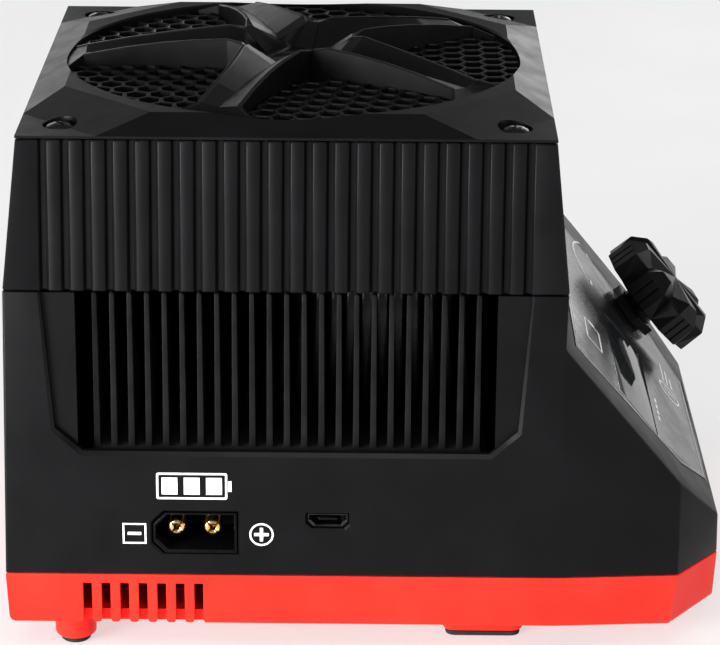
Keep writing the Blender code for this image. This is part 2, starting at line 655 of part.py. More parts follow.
# ---- heat sink and boards -----------------------------------------------
def build_heat_sink():
    profile = [(-SINK_X, SINK_Z0), (SINK_X, SINK_Z0), (SINK_X, SINK_Z1)]
    for i in reversed(range(FIN_COUNT)):
        x = (i - (FIN_COUNT - 1) / 2) * FIN_PITCH
        profile += [(x + FIN_FOOT / 2, SINK_Z1), (x + FIN_TIP / 2, FIN_Z),
                    (x - FIN_TIP / 2, FIN_Z), (x - FIN_FOOT / 2, SINK_Z1)]
    profile.append((-SINK_X, SINK_Z1))
    mesh = plate_mesh("heat_sink", [profile], -SINK_Y, SINK_Y)
    finish("heat_sink", mesh, "black_metal", ALONG_Y)


def build_boards():
    main_top = 21.4
    finish("main_pcb", box_mesh("main_pcb", (-43.5, -51.0, main_top - 1.6), (51.0, 51.0, main_top)), "board_green")
    number = 0
    for sx in (-1, 1):
        for sy in (-1, 1):
            number += 1
            at = Matrix.Translation((sx * 22.0, sy * 22.0, 0.0))
            mesh = box_mesh("mosfet", (-7.8, -10.0, 33.6), (7.8, 10.0, SINK_Z0 - GAP))
            chip = finish("mosfet_%d" % number, mesh, "component_black", at)
            for x in (-5.4, 0.0, 5.4):
                join(chip, tool(box_mesh("leg", (x - 0.6, -8.0, main_top + GAP), (x + 0.6, -7.2, 34.0)), at))
    for i, y in enumerate((-6.0, 6.0)):
        at = Matrix.Translation((35.0, y, 0.0))
        finish("capacitor_%d" % (i + 1), rod_mesh("capacitor", 5.0, main_top + GAP, 36.5, segments=24),
               "component_black", at)
    shunt = finish("shunt_resistor", box_mesh("shunt", (-10.0, -4.0, 25.0), (10.0, -3.0, 31.0)), "shunt_metal")
    for x in (-9.5, 7.0):
        join(shunt, tool(box_mesh("leg", (x, -3.9, main_top + GAP), (x + 2.5, -3.1, 25.5))))
    at = Matrix.Translation((-30.0, 0.0, 0.0))
    buzzer = finish("buzzer", rod_mesh("buzzer", 6.0, main_top + GAP, 30.0, segments=28), "component_black", at)
    cut(buzzer, tool(rod_mesh("port", 1.2, 27.0, 32.0, segments=12), at))
    board = finish("usb_board", box_mesh("usb_board", (1.0, -52.4, 26.5), (15.4, -40.0, 27.5)), "board_green")
    for x in (2.5, 12.9):
        join(board, tool(box_mesh("header", (x, -42.5, main_top + GAP), (x + 1.0, -41.5, 26.8))))


def build_ports():
    front = -55.1
    at = Matrix.Translation((SOCKET_X, 0.0, SOCKET_Z)) @ ALONG_Y
    body = plate_mesh("battery_socket", [socket_outline(GAP)], 38.0, -front)
    socket = finish("battery_socket", body, "socket_black", at)
    cut(socket, tool(plate_mesh("mouth", [socket_outline(0.85)], 42.0, 60.0), at))
    for s, word in ((-1, "minus"), (1, "plus")):
        x = s * PIN_PITCH / 2 - 0.25
        spot = at @ Matrix.Translation((x, 0.1, 0.0))
        cut(socket, tool(rod_mesh("pin_hole", PIN_R + GAP, 36.0, 44.0, segments=16), spot))
        pin = finish("socket_pin_" + word, rod_mesh("pin", PIN_R, 36.3, 52.6, segments=20), "gold", spot)
        cut(pin, tool(box_mesh("split", (-0.3, -3.0, 47.0), (0.3, 3.0, 54.0)), spot))
    at = Matrix.Translation((USB_X, 0.0, USB_Z)) @ ALONG_Y
    port = finish("usb_port", plate_mesh("usb_port", [usb_outline(GAP)], 48.8, 54.5), "black_metal", at)
    cut(port, tool(plate_mesh("mouth", [usb_outline(0.65)], 49.6, 56.0), at))
    join(port, tool(box_mesh("tongue", (-2.0, -0.2, 49.3), (2.0, 0.35, 54.0)), at))


# ---- control panel ------------------------------------------------------
def build_panel():
    base = panel_matrix(0.0, 0.0)
    hole = arc(4.6, 0, 345, 23, (KNOB_V, KNOB_Y))
    mesh = plate_mesh("panel_label", [label_outline(), window_outline(GAP), hole], -0.4, 0.0)
    finish("panel_label", mesh, "label_gloss", base)
    finish("lcd_window", plate_mesh("lcd_window", [window_outline()], -1.7, -0.05), "window_clear", base)
    v0, v1 = WINDOW_V
    y0, y1 = WINDOW_Y
    finish("lcd_module", box_mesh("lcd_module", (v0 - 3.0, y0 - 2.5, -9.9), (v1 + 3.0, y1 + 2.5, -2.4)),
           "display_grey", base)
    finish("control_pcb", box_mesh("control_pcb", (9.0, -42.0, -11.8), (44.0, 42.0, -10.2)),
           "board_green", base)

    knob_at = panel_matrix(KNOB_V, KNOB_Y)
    body = finish("encoder_body", box_mesh("encoder_body", (-6.2, -6.2, -9.9), (6.2, 6.2, -2.4)), "steel", knob_at)
    join(body, tool(rod_mesh("bushing", 4.3, -3.0, 3.6), knob_at))
    cut(body, tool(rod_mesh("bore", 3.2, -5.0, 5.0), knob_at))
    cut(body, tool(rod_mesh("chamber", 4.6, -9.0, -4.0), knob_at))
    nut = finish("encoder_nut", rod_mesh("encoder_nut", 6.4, GAP, 2.3, segments=6), "black_metal", knob_at)
    cut(nut, tool(rod_mesh("thread", 4.6, -1.0, 4.0), knob_at))
    rotor = finish("encoder_rotor", rod_mesh("encoder_rotor", 4.3, -8.7, -5.4), "component_black", knob_at)
    cut(rotor, tool(rod_mesh("bore", 1.9, -10.0, -4.0, segments=16), knob_at))
    shaft = finish("encoder_shaft", rod_mesh("encoder_shaft", 2.9, -4.6, 11.2, segments=20), "steel", knob_at)
    join(shaft, tool(rod_mesh("tail", 1.55, -8.1, -4.0, segments=16), knob_at))

    def knob_ring(tip, spread, valley):
        """Seven lobes; tip and valley are each (radius, height above the skirt)."""
        ring = []
        for k in range(KNOB_LOBES):
            middle = 360.0 / KNOB_LOBES * k - 12.0
            for offset, (r, z) in ((-spread, tip), (spread, tip), (180.0 / KNOB_LOBES, valley)):
                a = math.radians(middle + offset)
                ring.append((r * math.cos(a), r * math.sin(a), KNOB_BASE + z))
        return ring

    rings = [knob_ring((KNOB_R, 0.0), 13.5, (12.6, 0.0)), knob_ring((KNOB_R - 0.15, 6.1), 13.5, (9.9, 5.9)),
             knob_ring((11.1, 8.5), 8.0, (9.2, 6.45)), knob_ring((1.0, KNOB_TOP - KNOB_BASE), 8.0, (1.0, 8.5))]
    knob = finish("knob", loft_mesh("knob", rings), "knob_black", knob_at)
    knob.modifiers.new("flat_faces", "TRIANGULATE")
    cut(knob, tool(rod_mesh("bore", 3.2, KNOB_BASE - 1.0, 11.5, segments=20), knob_at))


build_tray()
build_feet()
build_base_screws()
build_housing()
build_shroud()
build_guard()
build_screens()
build_guard_screws()
build_fan()
build_heat_sink()
build_boards()
build_ports()
build_panel()
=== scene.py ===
"""Looks for a bench battery charger with a finned load under a top fan.

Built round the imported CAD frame.  Constants are millimetres; meshes are made in metres.
X runs from the back of the case to the sloped control panel, Y from the battery socket
side to the far side, Z up.  Shapes are drawn about the fan's axis and moved to it.
"""
import math

import bmesh
import bpy
import numpy as np
from mathutils import Matrix, Vector


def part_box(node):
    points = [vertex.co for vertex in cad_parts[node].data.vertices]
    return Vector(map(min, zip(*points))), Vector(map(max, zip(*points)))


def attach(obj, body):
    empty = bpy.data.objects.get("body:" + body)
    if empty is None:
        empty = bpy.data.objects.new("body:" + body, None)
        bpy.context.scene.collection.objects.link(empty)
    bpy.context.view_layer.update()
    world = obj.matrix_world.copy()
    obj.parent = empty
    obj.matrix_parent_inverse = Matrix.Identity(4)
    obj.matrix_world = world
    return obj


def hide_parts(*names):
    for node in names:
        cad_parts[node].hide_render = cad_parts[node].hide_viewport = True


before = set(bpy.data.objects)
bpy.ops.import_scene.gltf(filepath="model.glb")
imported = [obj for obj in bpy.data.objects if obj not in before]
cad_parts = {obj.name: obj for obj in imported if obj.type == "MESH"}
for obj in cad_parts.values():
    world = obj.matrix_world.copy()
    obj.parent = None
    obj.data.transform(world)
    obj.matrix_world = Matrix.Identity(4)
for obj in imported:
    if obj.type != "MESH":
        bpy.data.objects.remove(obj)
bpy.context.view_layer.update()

MM = 0.001


def cad(node):
    """Lowest and highest corner of a CAD node, in millimetres."""
    low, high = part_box(node)
    return low / MM, high / MM


# ---- where things are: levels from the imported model, sizes in millimetres ---
FAN_LOW, FAN_HIGH = cad("fan_frame")
FAN_X = (FAN_LOW.x + FAN_HIGH.x) / 2
Z_TRAY = 6.4
Z_SEAM = cad("lower_housing")[0].z - 0.15
Z_SHROUD = cad("fan_shroud")[0].z - 0.15
Z_TOP = 106.85
GAP = 0.3
HALF_TOP, HALF_SEAM = 51.75, 54.75
REAR_BOTTOM, SIDE_BOTTOM = 55.87, 55.37
WALL, TRAY_WALL, TRAY_FLOOR = 2.0, 1.8, 1.6

GROOVES, GROOVE_PITCH = 23, 4.236
GROOVE_MOUTH, GROOVE_FLOOR, GROOVE_DEPTH = 1.83, 0.9, 0.9

RING_R, RING_H, DOME_R = 46.6, 2.9, 209.0
HEX_PITCH, HEX_WEB = 4.75, 0.9
SCREW_AT = 43.875
Z_RING = Z_TOP + RING_H
PLATE_Z, RIM_Z = Z_TOP - 1.0, Z_TOP - 0.5
TAN36 = math.tan(math.radians(36))
SPOKE = ((13.4, 5.6, 1.15), (20.0, 4.6, 1.25), (27.0, 3.95, 1.15), (34.0, 3.7, 0.75), (42.9, 3.7, 0.0))
RIM = 0.9

SLOPE_TOP = (54.4, 65.4)
SLOPE_DIR = Vector((0.6378, 0.0, -0.7702)).normalized()
LABEL_TOP, LABEL_BEND, LABEL_END = (4.2, 43.5), (39.3, 38.0), (49.0, 28.0)
WINDOW_V, WINDOW_Y = (19.0, 31.3), (-38.0, 8.5)
KNOB_V, KNOB_Y = 30.3, 33.0
KNOB_R, KNOB_BASE, KNOB_TOP, KNOB_LOBES = 13.6, 4.9, 13.5, 7

FIN_COUNT, FIN_PITCH, FIN_FOOT, FIN_TIP = 23, 3.41, 1.25, 0.93
SINK_Y, SINK_X, SINK_Z0, SINK_Z1, FIN_Z = 50.0, 39.5, 38.7, 42.7, 74.8

SOCKET_X, SOCKET_Z = -18.05, 26.3
SOCKET_W, SOCKET_H, SOCKET_CHAMFER = 17.1, 9.2, 2.4
PIN_PITCH, PIN_R = 7.2, 1.75
USB_X, USB_Z = 8.2, 29.1
FAN_Z0, POST_CUT = 78.3, 84.6
REAR_FOOT = (-42.9, 48.0)
FRONT_FOOT = (31.5, 38.4, 47.9, 46.4)
BASE_SCREWS = ((-50.2, -30.0), (-50.2, 30.0), (60.0, -49.6), (60.0, 49.6))
LID_SCREWS = [(sx * SCREW_AT, sy * SCREW_AT) for sx in (-1, 1) for sy in (-1, 1)]
BOARD_POSTS = ((-38.0, -36.0), (-38.0, 36.0), (44.0, -30.0), (44.0, 30.0))
SLOT_COUNT, SLOT_X, SLOT_PITCH, SLOT_HALF = 7, -40.6, 3.7, 0.9
SPOKES, KNOB_HOLE_R = 5, 4.6
PRINT_THICK, PRINT_Z = 0.03, 30.0
LOBE_TIP = ((-1.0, 0.0), (-0.46, 0.0), (-0.36, 1.0), (-0.26, 0.0),
            (0.26, 0.0), (0.36, 1.0), (0.46, 0.0), (1.0, 0.0))      # part of the spread, depth of a groove

CAMERA_AT = (17.337, -601.514, 266.782)                 # from the foot of the fan's axis
CAMERA_YAW, CAMERA_PITCH, CAMERA_ROLL = -0.00555, 0.34416, 0.00728
CAMERA_LENS, CAMERA_SENSOR = 150.3595, 36.0

ALONG_Y = Matrix.Rotation(math.radians(90), 4, "X")     # local Z becomes -Y, local Y becomes Z


# ---- materials: grain, mottle and wear from noise in object space ----------
class Nodes:
    """A Principled material and the few node moves that every finish uses."""

    def __init__(self, name, colour, roughness, metallic=0.0, ior=1.45):
        self.mat = bpy.data.materials.new(name)
        self.mat.use_nodes = True
        self.tree = self.mat.node_tree
        self.shader = self.tree.nodes["Principled BSDF"]
        self.set("Base Color", (*colour, 1.0))
        self.set("Roughness", roughness)
        self.set("Metallic", metallic)
        self.set("IOR", ior)
        self.coord = self.add("ShaderNodeTexCoord").outputs["Object"]
        self.mat.diffuse_color = (*colour, 1.0)

    def add(self, kind, **settings):
        node = self.tree.nodes.new(kind)
        for key, value in settings.items():
            setattr(node, key, value)
        return node

    def set(self, socket, value):
        self.shader.inputs[socket].default_value = value

    def link(self, a, b):
        self.tree.links.new(a, b)

    def noise(self, size_mm, detail=2.0, stretch=None, rough=0.5):
        """Noise with features of about size_mm; stretch squeezes it along an axis."""
        tex = self.add("ShaderNodeTexNoise")
        tex.inputs["Scale"].default_value = 1.0 / (size_mm * MM)
        tex.inputs["Detail"].default_value = detail
        tex.inputs["Roughness"].default_value = rough
        source = self.coord
        if stretch:
            mapping = self.add("ShaderNodeMapping")
            mapping.inputs["Scale"].default_value = stretch
            self.link(self.coord, mapping.inputs["Vector"])
            source = mapping.outputs["Vector"]
        self.link(source, tex.inputs["Vector"])
        return tex.outputs["Fac"]

    def ramp(self, factor, stops):
        ramp = self.add("ShaderNodeValToRGB")
        elements = ramp.color_ramp.elements
        while len(elements) < len(stops):
            elements.new(0.5)
        for element, (at, colour) in zip(elements, stops):
            element.position = at
            element.color = (*colour, 1.0)
        self.link(factor, ramp.inputs["Fac"])
        return ramp.outputs["Color"]

    def spread(self, factor, low, high):
        """Vary the roughness between low and high with the noise."""
        between = self.add("ShaderNodeMapRange")
        for key, value in zip(("From Min", "From Max", "To Min", "To Max"), (0.3, 0.7, low, high)):
            between.inputs[key].default_value = value
        self.link(factor, between.inputs["Value"])
        self.link(between.outputs["Result"], self.shader.inputs["Roughness"])

    def bump(self, height, depth_mm):
        """Stack one more layer of relief on the shader's normal."""
        bump = self.add("ShaderNodeBump")
        bump.inputs["Strength"].default_value = 1.0
        bump.inputs["Distance"].default_value = depth_mm * MM
        self.link(height, bump.inputs["Height"])
        normal = self.shader.inputs["Normal"]
        if normal.links:
            self.link(normal.links[0].from_socket, bump.inputs["Normal"])
        self.link(bump.outputs["Normal"], normal)


def moulded(name, dark, light, rough, grain=0.28, depth=0.012, mottle=14.0, ior=1.42):
    """Injection moulded plastic: eroded grain, faint flow mottle, uneven sheen."""
    m = Nodes(name, light, sum(rough) / 2, ior=ior)
    m.link(m.ramp(m.noise(mottle, 3.0), [(0.3, dark), (0.7, light)]), m.shader.inputs["Base Color"])
    m.spread(m.noise(mottle * 0.4, 4.0), *rough)
    m.bump(m.noise(grain, 2.0, rough=0.65), depth)
    m.bump(m.noise(grain * 22, 1.0), depth * 2.5)
    return m


def metal(name, dark, light, rough, stretch=(1, 1, 1), size=0.5, depth=0.004):
    """Machined or drawn metal: streaks along the work, small tone changes."""
    m = Nodes(name, light, sum(rough) / 2, metallic=1.0)
    m.link(m.ramp(m.noise(6.0, 3.0, stretch), [(0.3, dark), (0.7, light)]), m.shader.inputs["Base Color"])
    streak = m.noise(size, 2.0, stretch)
    m.spread(streak, *rough)
    m.bump(streak, depth)
    return m


HOUSING = moulded("housing_black", (0.0022, 0.0023, 0.0026), (0.0036, 0.0037, 0.0042),
                  (0.36, 0.46), ior=1.2).mat
RED = moulded("tray_red", (0.84, 0.018, 0.010), (0.90, 0.026, 0.015), (0.36, 0.48), depth=0.006, ior=1.24).mat
RUBBER = moulded("foot_rubber", (0.008, 0.008, 0.008), (0.02, 0.02, 0.019), (0.75, 0.95), 0.5, 0.03, 6.0).mat
FAN = moulded("fan_plastic", (0.004, 0.004, 0.0045), (0.007, 0.007, 0.0075),
              (0.38, 0.5), 0.4, 0.008, ior=1.3).mat
KNOB = moulded("knob_plastic", (0.0018, 0.0019, 0.0021), (0.0030, 0.0031, 0.0034),
               (0.34, 0.42), 0.22, 0.008, 8.0, 1.24).mat
SOCKET = moulded("socket_nylon", (0.0016, 0.0016, 0.0018), (0.003, 0.003, 0.0034),
                 (0.24, 0.36), 0.5, 0.006, 5.0, 1.2).mat
CHIP = moulded("component_epoxy", (0.012, 0.012, 0.012), (0.024, 0.024, 0.024),
               (0.5, 0.7), 0.15, 0.006, 4.0).mat
INK = moulded("print_white", (0.78, 0.78, 0.77), (0.88, 0.88, 0.87), (0.45, 0.6), 0.12, 0.003, 5.0).mat
INK_GREY = moulded("print_grey", (0.42, 0.42, 0.43), (0.52, 0.52, 0.53), (0.4, 0.55), 0.12, 0.003, 5.0).mat
SCREW = metal("screw_black", (0.022, 0.022, 0.024), (0.06, 0.06, 0.064), (0.24, 0.42), size=0.3).mat
GOLD = metal("contact_gold", (0.88, 0.54, 0.16), (1.0, 0.76, 0.34), (0.14, 0.28), size=0.3, depth=0.002).mat
SHUNT = metal("shunt_alloy", (0.33, 0.30, 0.27), (0.5, 0.47, 0.42), (0.3, 0.5), (1, 6, 6)).mat
ANODISED = moulded("sink_anodised", (0.006, 0.006, 0.0065), (0.010, 0.010, 0.011),
                   (0.28, 0.38), 0.3, 0.004, 6.0, 1.14).mat


def board_material():
    m = Nodes("circuit_board", (0.012, 0.11, 0.045), 0.4)
    tracks = m.add("ShaderNodeTexVoronoi", distance="MANHATTAN")
    tracks.inputs["Scale"].default_value = 1.0 / (3.2 * MM)
    m.link(m.coord, tracks.inputs["Vector"])
    m.link(m.ramp(tracks.outputs["Distance"], [(0.35, (0.006, 0.07, 0.03)), (0.42, (0.014, 0.13, 0.055))]),
           m.shader.inputs["Base Color"])
    m.spread(m.noise(2.0), 0.28, 0.45)
    m.bump(tracks.outputs["Distance"], 0.02)
    return m.mat


def label_material():
    m = Nodes("label_film", (0.010, 0.0105, 0.012), 0.1, ior=1.5)
    m.link(m.ramp(m.noise(20.0), [(0.3, (0.008, 0.0085, 0.010)), (0.7, (0.013, 0.0135, 0.015))]),
           m.shader.inputs["Base Color"])
    m.spread(m.noise(5.0, 4.0), 0.22, 0.30)
    m.bump(m.noise(9.0, 1.0), 0.008)
    return m.mat


def window_material():
    m = Nodes("lcd_glass", (0.02, 0.022, 0.024), 0.04, ior=1.5)
    m.spread(m.noise(6.0, 4.0), 0.02, 0.05)
    m.bump(m.noise(12.0, 1.0), 0.004)
    m.set("Alpha", 0.72)
    return m.mat


def display_material():
    """Unlit liquid crystal: grey green glass with a fine pixel mesh."""
    m = Nodes("lcd_cell", (0.13, 0.17, 0.12), 0.3)
    wave = m.add("ShaderNodeTexWave", bands_direction="Y")
    wave.inputs["Scale"].default_value = 1.0 / (2.2 * MM)
    m.link(m.coord, wave.inputs["Vector"])
    m.link(m.ramp(wave.outputs["Fac"], [(0.1, (0.10, 0.135, 0.09)), (0.9, (0.14, 0.18, 0.125))]),
           m.shader.inputs["Base Color"])
    m.spread(m.noise(3.0), 0.22, 0.4)
    m.bump(m.noise(0.4), 0.004)
    return m.mat


BOARD, LABEL, GLASS, DISPLAY = board_material(), label_material(), window_material(), display_material()


# ---- mesh helpers ----------------------------------------------------------
def place(obj, matrix):
    local = (matrix or Matrix()).copy()
    local.translation = local.translation * MM
    obj.matrix_world = Matrix.Translation(Vector((FAN_X * MM, 0.0, 0.0))) @ local


def to_mesh(bm, name):
    bmesh.ops.recalc_face_normals(bm, faces=bm.faces)
    for vert in bm.verts:
        vert.co *= MM
    mesh = bpy.data.meshes.new(name)
    bm.to_mesh(mesh)
    bm.free()
    return mesh


def box_mesh(lo, hi):
    bm = bmesh.new()
    bmesh.ops.create_cube(bm, size=1.0)
    bmesh.ops.scale(bm, vec=[b - a for a, b in zip(lo, hi)], verts=bm.verts)
    bmesh.ops.translate(bm, vec=[(a + b) / 2 for a, b in zip(lo, hi)], verts=bm.verts)
    return to_mesh(bm, "block")


def lathe_mesh(profile, at=(0.0, 0.0), steps=48):
    """Turn a profile of (radius, z) about Z; radius 0 at an end closes it to a point."""
    rings, bm = [], bmesh.new()
    for radius, z in profile:
        if radius < 1e-6:
            rings.append([bm.verts.new((at[0], at[1], z))])
        else:
            rings.append([bm.verts.new((at[0] + radius * math.cos(2 * math.pi * i / steps),
                                        at[1] + radius * math.sin(2 * math.pi * i / steps), z))
                          for i in range(steps)])
    for low, high in zip(rings, rings[1:]):
        for i in range(steps):
            j = (i + 1) % steps
            if len(low) == 1:
                bm.faces.new((low[0], high[j], high[i]))
            elif len(high) == 1:
                bm.faces.new((low[i], low[j], high[0]))
            else:
                bm.faces.new((low[i], low[j], high[j], high[i]))
    for ring in (rings[0], rings[-1]):
        if len(ring) > 1:
            bm.faces.new(ring)
    return to_mesh(bm, "turned")


def rod_mesh(radius, z0, z1, at=(0.0, 0.0), steps=32, edge=0.0):
    """A rod, with rounded rims where edge is given."""
    if not edge:
        return lathe_mesh([(radius, z0), (radius, z1)], at, steps)
    lower = [(radius - edge + edge * math.sin(a), z0 + edge - edge * math.cos(a))
             for a in (0.0, math.pi / 6, math.pi / 3, math.pi / 2)]
    upper = [(r, z1 - (z - z0)) for r, z in reversed(lower)]
    return lathe_mesh(lower + upper, at, steps)


def loft_mesh(rings):
    """Skin a closed solid through rings of as many points each."""
    bm = bmesh.new()
    rows = [[bm.verts.new(p) for p in ring] for ring in rings]
    count = len(rows[0])
    for lower, upper in zip(rows, rows[1:]):
        for i in range(count):
            j = (i + 1) % count
            bm.faces.new((lower[i], lower[j], upper[j], upper[i]))
    bm.faces.new(list(reversed(rows[0])))
    bm.faces.new(rows[-1])
    return to_mesh(bm, "loft")


def plate_mesh(loops, z0, z1, edge=0.0):
    """Fill flat outlines with holes and give them thickness, with rounded rims where edge is given."""
    curve = bpy.data.curves.new("plate", "CURVE")
    curve.dimensions = "2D"
    curve.fill_mode = "BOTH"
    curve.extrude = ((z1 - z0) / 2 - edge) * MM
    curve.bevel_depth = edge * MM
    curve.bevel_resolution = 1
    curve.offset = -edge * MM
    for loop in loops:
        spline = curve.splines.new("POLY")
        spline.points.add(len(loop) - 1)
        for point, (x, y) in zip(spline.points, loop):
            point.co = (x * MM, y * MM, 0.0, 1.0)
        spline.use_cyclic_u = True
    obj = bpy.data.objects.new("plate", curve)
    bpy.context.scene.collection.objects.link(obj)
    depsgraph = bpy.context.evaluated_depsgraph_get()
    mesh = bpy.data.meshes.new_from_object(obj.evaluated_get(depsgraph))
    bpy.data.objects.remove(obj, do_unlink=True)
    bpy.data.curves.remove(curve)
    bm = bmesh.new()
    bm.from_mesh(mesh)
    bmesh.ops.remove_doubles(bm, verts=bm.verts, dist=1e-6)
    bmesh.ops.translate(bm, vec=(0.0, 0.0, (z0 + z1) / 2 * MM), verts=bm.verts)
    bmesh.ops.recalc_face_normals(bm, faces=bm.faces)
    bm.to_mesh(mesh)
    bm.free()
    return mesh


def triangles(mesh):
    """Split faces that may not be flat, so that the booleans get exact planes."""
    bm = bmesh.new()
    bm.from_mesh(mesh)
    bmesh.ops.triangulate(bm, faces=bm.faces)
    bm.to_mesh(mesh)
    bm.free()
    return mesh


def merged(meshes):
    bm = bmesh.new()
    for mesh in meshes:
        bm.from_mesh(mesh)
        bpy.data.meshes.remove(mesh)
    mesh = bpy.data.meshes.new("merged")
    bm.to_mesh(mesh)
    bm.free()
    return mesh


def arc(radius, a0, a1, steps, centre=(0.0, 0.0)):
    angles = [math.radians(a0 + (a1 - a0) * i / steps) for i in range(steps + 1)]
    return [(centre[0] + radius * math.cos(a), centre[1] + radius * math.sin(a)) for a in angles]


def rounded_box(x0, y0, x1, y1, radius, steps=4):
    corners = ((x1 - radius, y1 - radius, 0), (x0 + radius, y1 - radius, 90),
               (x0 + radius, y0 + radius, 180), (x1 - radius, y0 + radius, 270))
    return [p for cx, cy, a in corners for p in arc(radius, a, a + 90, steps, (cx, cy))]


def both_sides(points):
    return list(points) + [(p[0], -p[1], *p[2:]) for p in reversed(points)]


def octagon(half, corner):
    k = corner - half
    return [(half, -k), (half, k), (k, half), (-k, half), (-half, k), (-half, -k), (-k, -half), (k, -half)]


def panel_matrix(v, y, lift=0.0):
    """Frame on the sloped panel: local X is down the slope, local Z is outwards."""
    down = SLOPE_DIR
    out = Vector((-down.z, 0.0, down.x))
    matrix = Matrix((down, out.cross(down), out)).transposed().to_4x4()
    matrix.translation = (Vector((SLOPE_TOP[0], 0.0, SLOPE_TOP[1])) + down * v
                          + Vector((0.0, y, 0.0)) + out * lift)
    return matrix


def raw(mesh, matrix=None):
    obj = bpy.data.objects.new("raw", mesh)
    bpy.context.scene.collection.objects.link(obj)
    place(obj, matrix)
    return obj


def freeze(obj):
    """Apply the object's modifiers to its mesh."""
    depsgraph = bpy.context.evaluated_depsgraph_get()
    mesh = bpy.data.meshes.new_from_object(obj.evaluated_get(depsgraph))
    obj.modifiers.clear()
    obj.data = mesh


def carve(obj, operation, *tools):
    """Exact booleans with (mesh, matrix) tools, applied at once."""
    others = [raw(*(t if isinstance(t, tuple) else (t,))) for t in tools]
    for other in others:
        mod = obj.modifiers.new("carve", "BOOLEAN")
        mod.operation = operation
        mod.object = other
        mod.solver = "EXACT"
    freeze(obj)
    for other in others:
        bpy.data.objects.remove(other, do_unlink=True)


def flatten(obj, angle=0.6):
    """Merge the faces that lie in one plane."""
    bm = bmesh.new()
    bm.from_mesh(obj.data)
    bmesh.ops.remove_doubles(bm, verts=bm.verts, dist=2e-6)
    bmesh.ops.dissolve_limit(bm, angle_limit=math.radians(angle), verts=bm.verts, edges=bm.edges)
    bm.to_mesh(obj.data)
    bm.free()


def done(obj, name, mat, nodes=(), body="case", smooth=32):
    """Name and finish a piece, put it on its body and hide the CAD nodes it stands for."""
    obj.name = obj.data.name = name
    bpy.context.view_layer.update()
    obj.data.transform(obj.matrix_world)
    obj.matrix_world = Matrix()
    obj.data.materials.clear()
    obj.data.materials.append(mat)
    obj.data.shade_smooth()
    obj.data.set_sharp_from_angle(angle=math.radians(smooth))
    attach(obj, body)
    if nodes:
        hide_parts(*nodes)


def dress(node, mat):
    """Keep a CAD node's shape and give it a finish."""
    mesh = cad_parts[node].data
    mesh.materials.clear()
    mesh.materials.append(mat)


# ---- base tray, feet, screws ------------------------------------------------
def tray_ring(z, inset=0.0, rear=None):
    t = (z - Z_TRAY) / (Z_SEAM - Z_TRAY)
    k = inset
    near = ((-55.4 - 0.47 * t + (k if rear is None else rear), -54.7 - 0.67 * t + k, z),
            (53.5 + 0.5 * t, -54.7 - 0.67 * t + k, z),
            (76.7 + 1.2 * t - k * 0.3, -52.9 - 0.5 * t + k, z),
            (86.8 + 0.3 * t - k, -38.8 - 2.3 * t + k * 0.3, z))
    return both_sides(near)


def build_tray():
    top = Z_SEAM - GAP / 2
    round_off = [(0.45, 1.5, Z_TRAY), (0.18, 0.98, Z_TRAY + 0.15), (0.0, 0.44, Z_TRAY + 0.5),
                 (0.0, 0.12, Z_TRAY + 1.0), (0.0, 0.0, Z_TRAY + 1.5), (0.0, 0.0, top - 0.2), (0.2, 0.2, top)]
    tray = raw(triangles(loft_mesh([tray_ring(z, inset, rear) for inset, rear, z in round_off])))
    hollow = [(TRAY_WALL + 0.8, Z_TRAY + TRAY_FLOOR), (TRAY_WALL, Z_TRAY + TRAY_FLOOR + 0.8),
              (TRAY_WALL, top + 1.0)]
    carve(tray, "DIFFERENCE", triangles(loft_mesh([tray_ring(z, inset) for inset, z in hollow])))
    posts = []
    x0, y0, x1, y1 = FRONT_FOOT
    for side in (-1, 1):
        posts.append(rod_mesh(4.15, 1.3, Z_TRAY + 1.0, (REAR_FOOT[0], side * REAR_FOOT[1]), 40, 0.7))
        lo, hi = sorted((side * y0, side * y1))
        posts.append(plate_mesh([rounded_box(x0, lo, x1, hi, 2.4)], 1.3, Z_TRAY + 1.0, 0.5))
    for at in BOARD_POSTS:
        posts.append(rod_mesh(3.0, Z_TRAY + 0.8, 19.5, at, 24))
    for at in BASE_SCREWS:
        posts.append(rod_mesh(4.2, Z_TRAY + 0.8, Z_SEAM - 0.45, at))
    carve(tray, "UNION", merged(posts))
    holes = []
    for at in BASE_SCREWS:
        holes += [rod_mesh(1.75, Z_TRAY + 3.0, Z_SEAM + 2.0, at, 16),
                  lathe_mesh([(3.6, Z_TRAY - 2.0), (3.6, Z_TRAY), (3.2, Z_TRAY + 0.4),
                              (3.2, Z_TRAY + 4.0)], at)]
    carve(tray, "DIFFERENCE", *holes)
    half = [(0.8, 15.4), (0.92, 15.25), (0.92, 7.45), (0.99, 7.0), (1.2, 6.65), (1.45, 6.47), (1.45, 5.4)]
    profile = half + [(-x, z) for x, z in reversed(half)]
    slots = []
    for side in (-1, 1):
        for i in range(SLOT_COUNT):
            x = SLOT_X + SLOT_PITCH * i + SLOT_HALF
            mesh = plate_mesh([[(x + px, pz) for px, pz in profile]], 53.0, 57.0)
            mesh.transform(ALONG_Y if side < 0 else Matrix.Scale(-1, 4, (0, 1, 0)) @ ALONG_Y)
            if side > 0:
                mesh.flip_normals()
            slots.append(mesh)
    carve(tray, "DIFFERENCE", merged(slots))
    flatten(tray)
    done(tray, "tray_shell", RED, ["base_tray"])


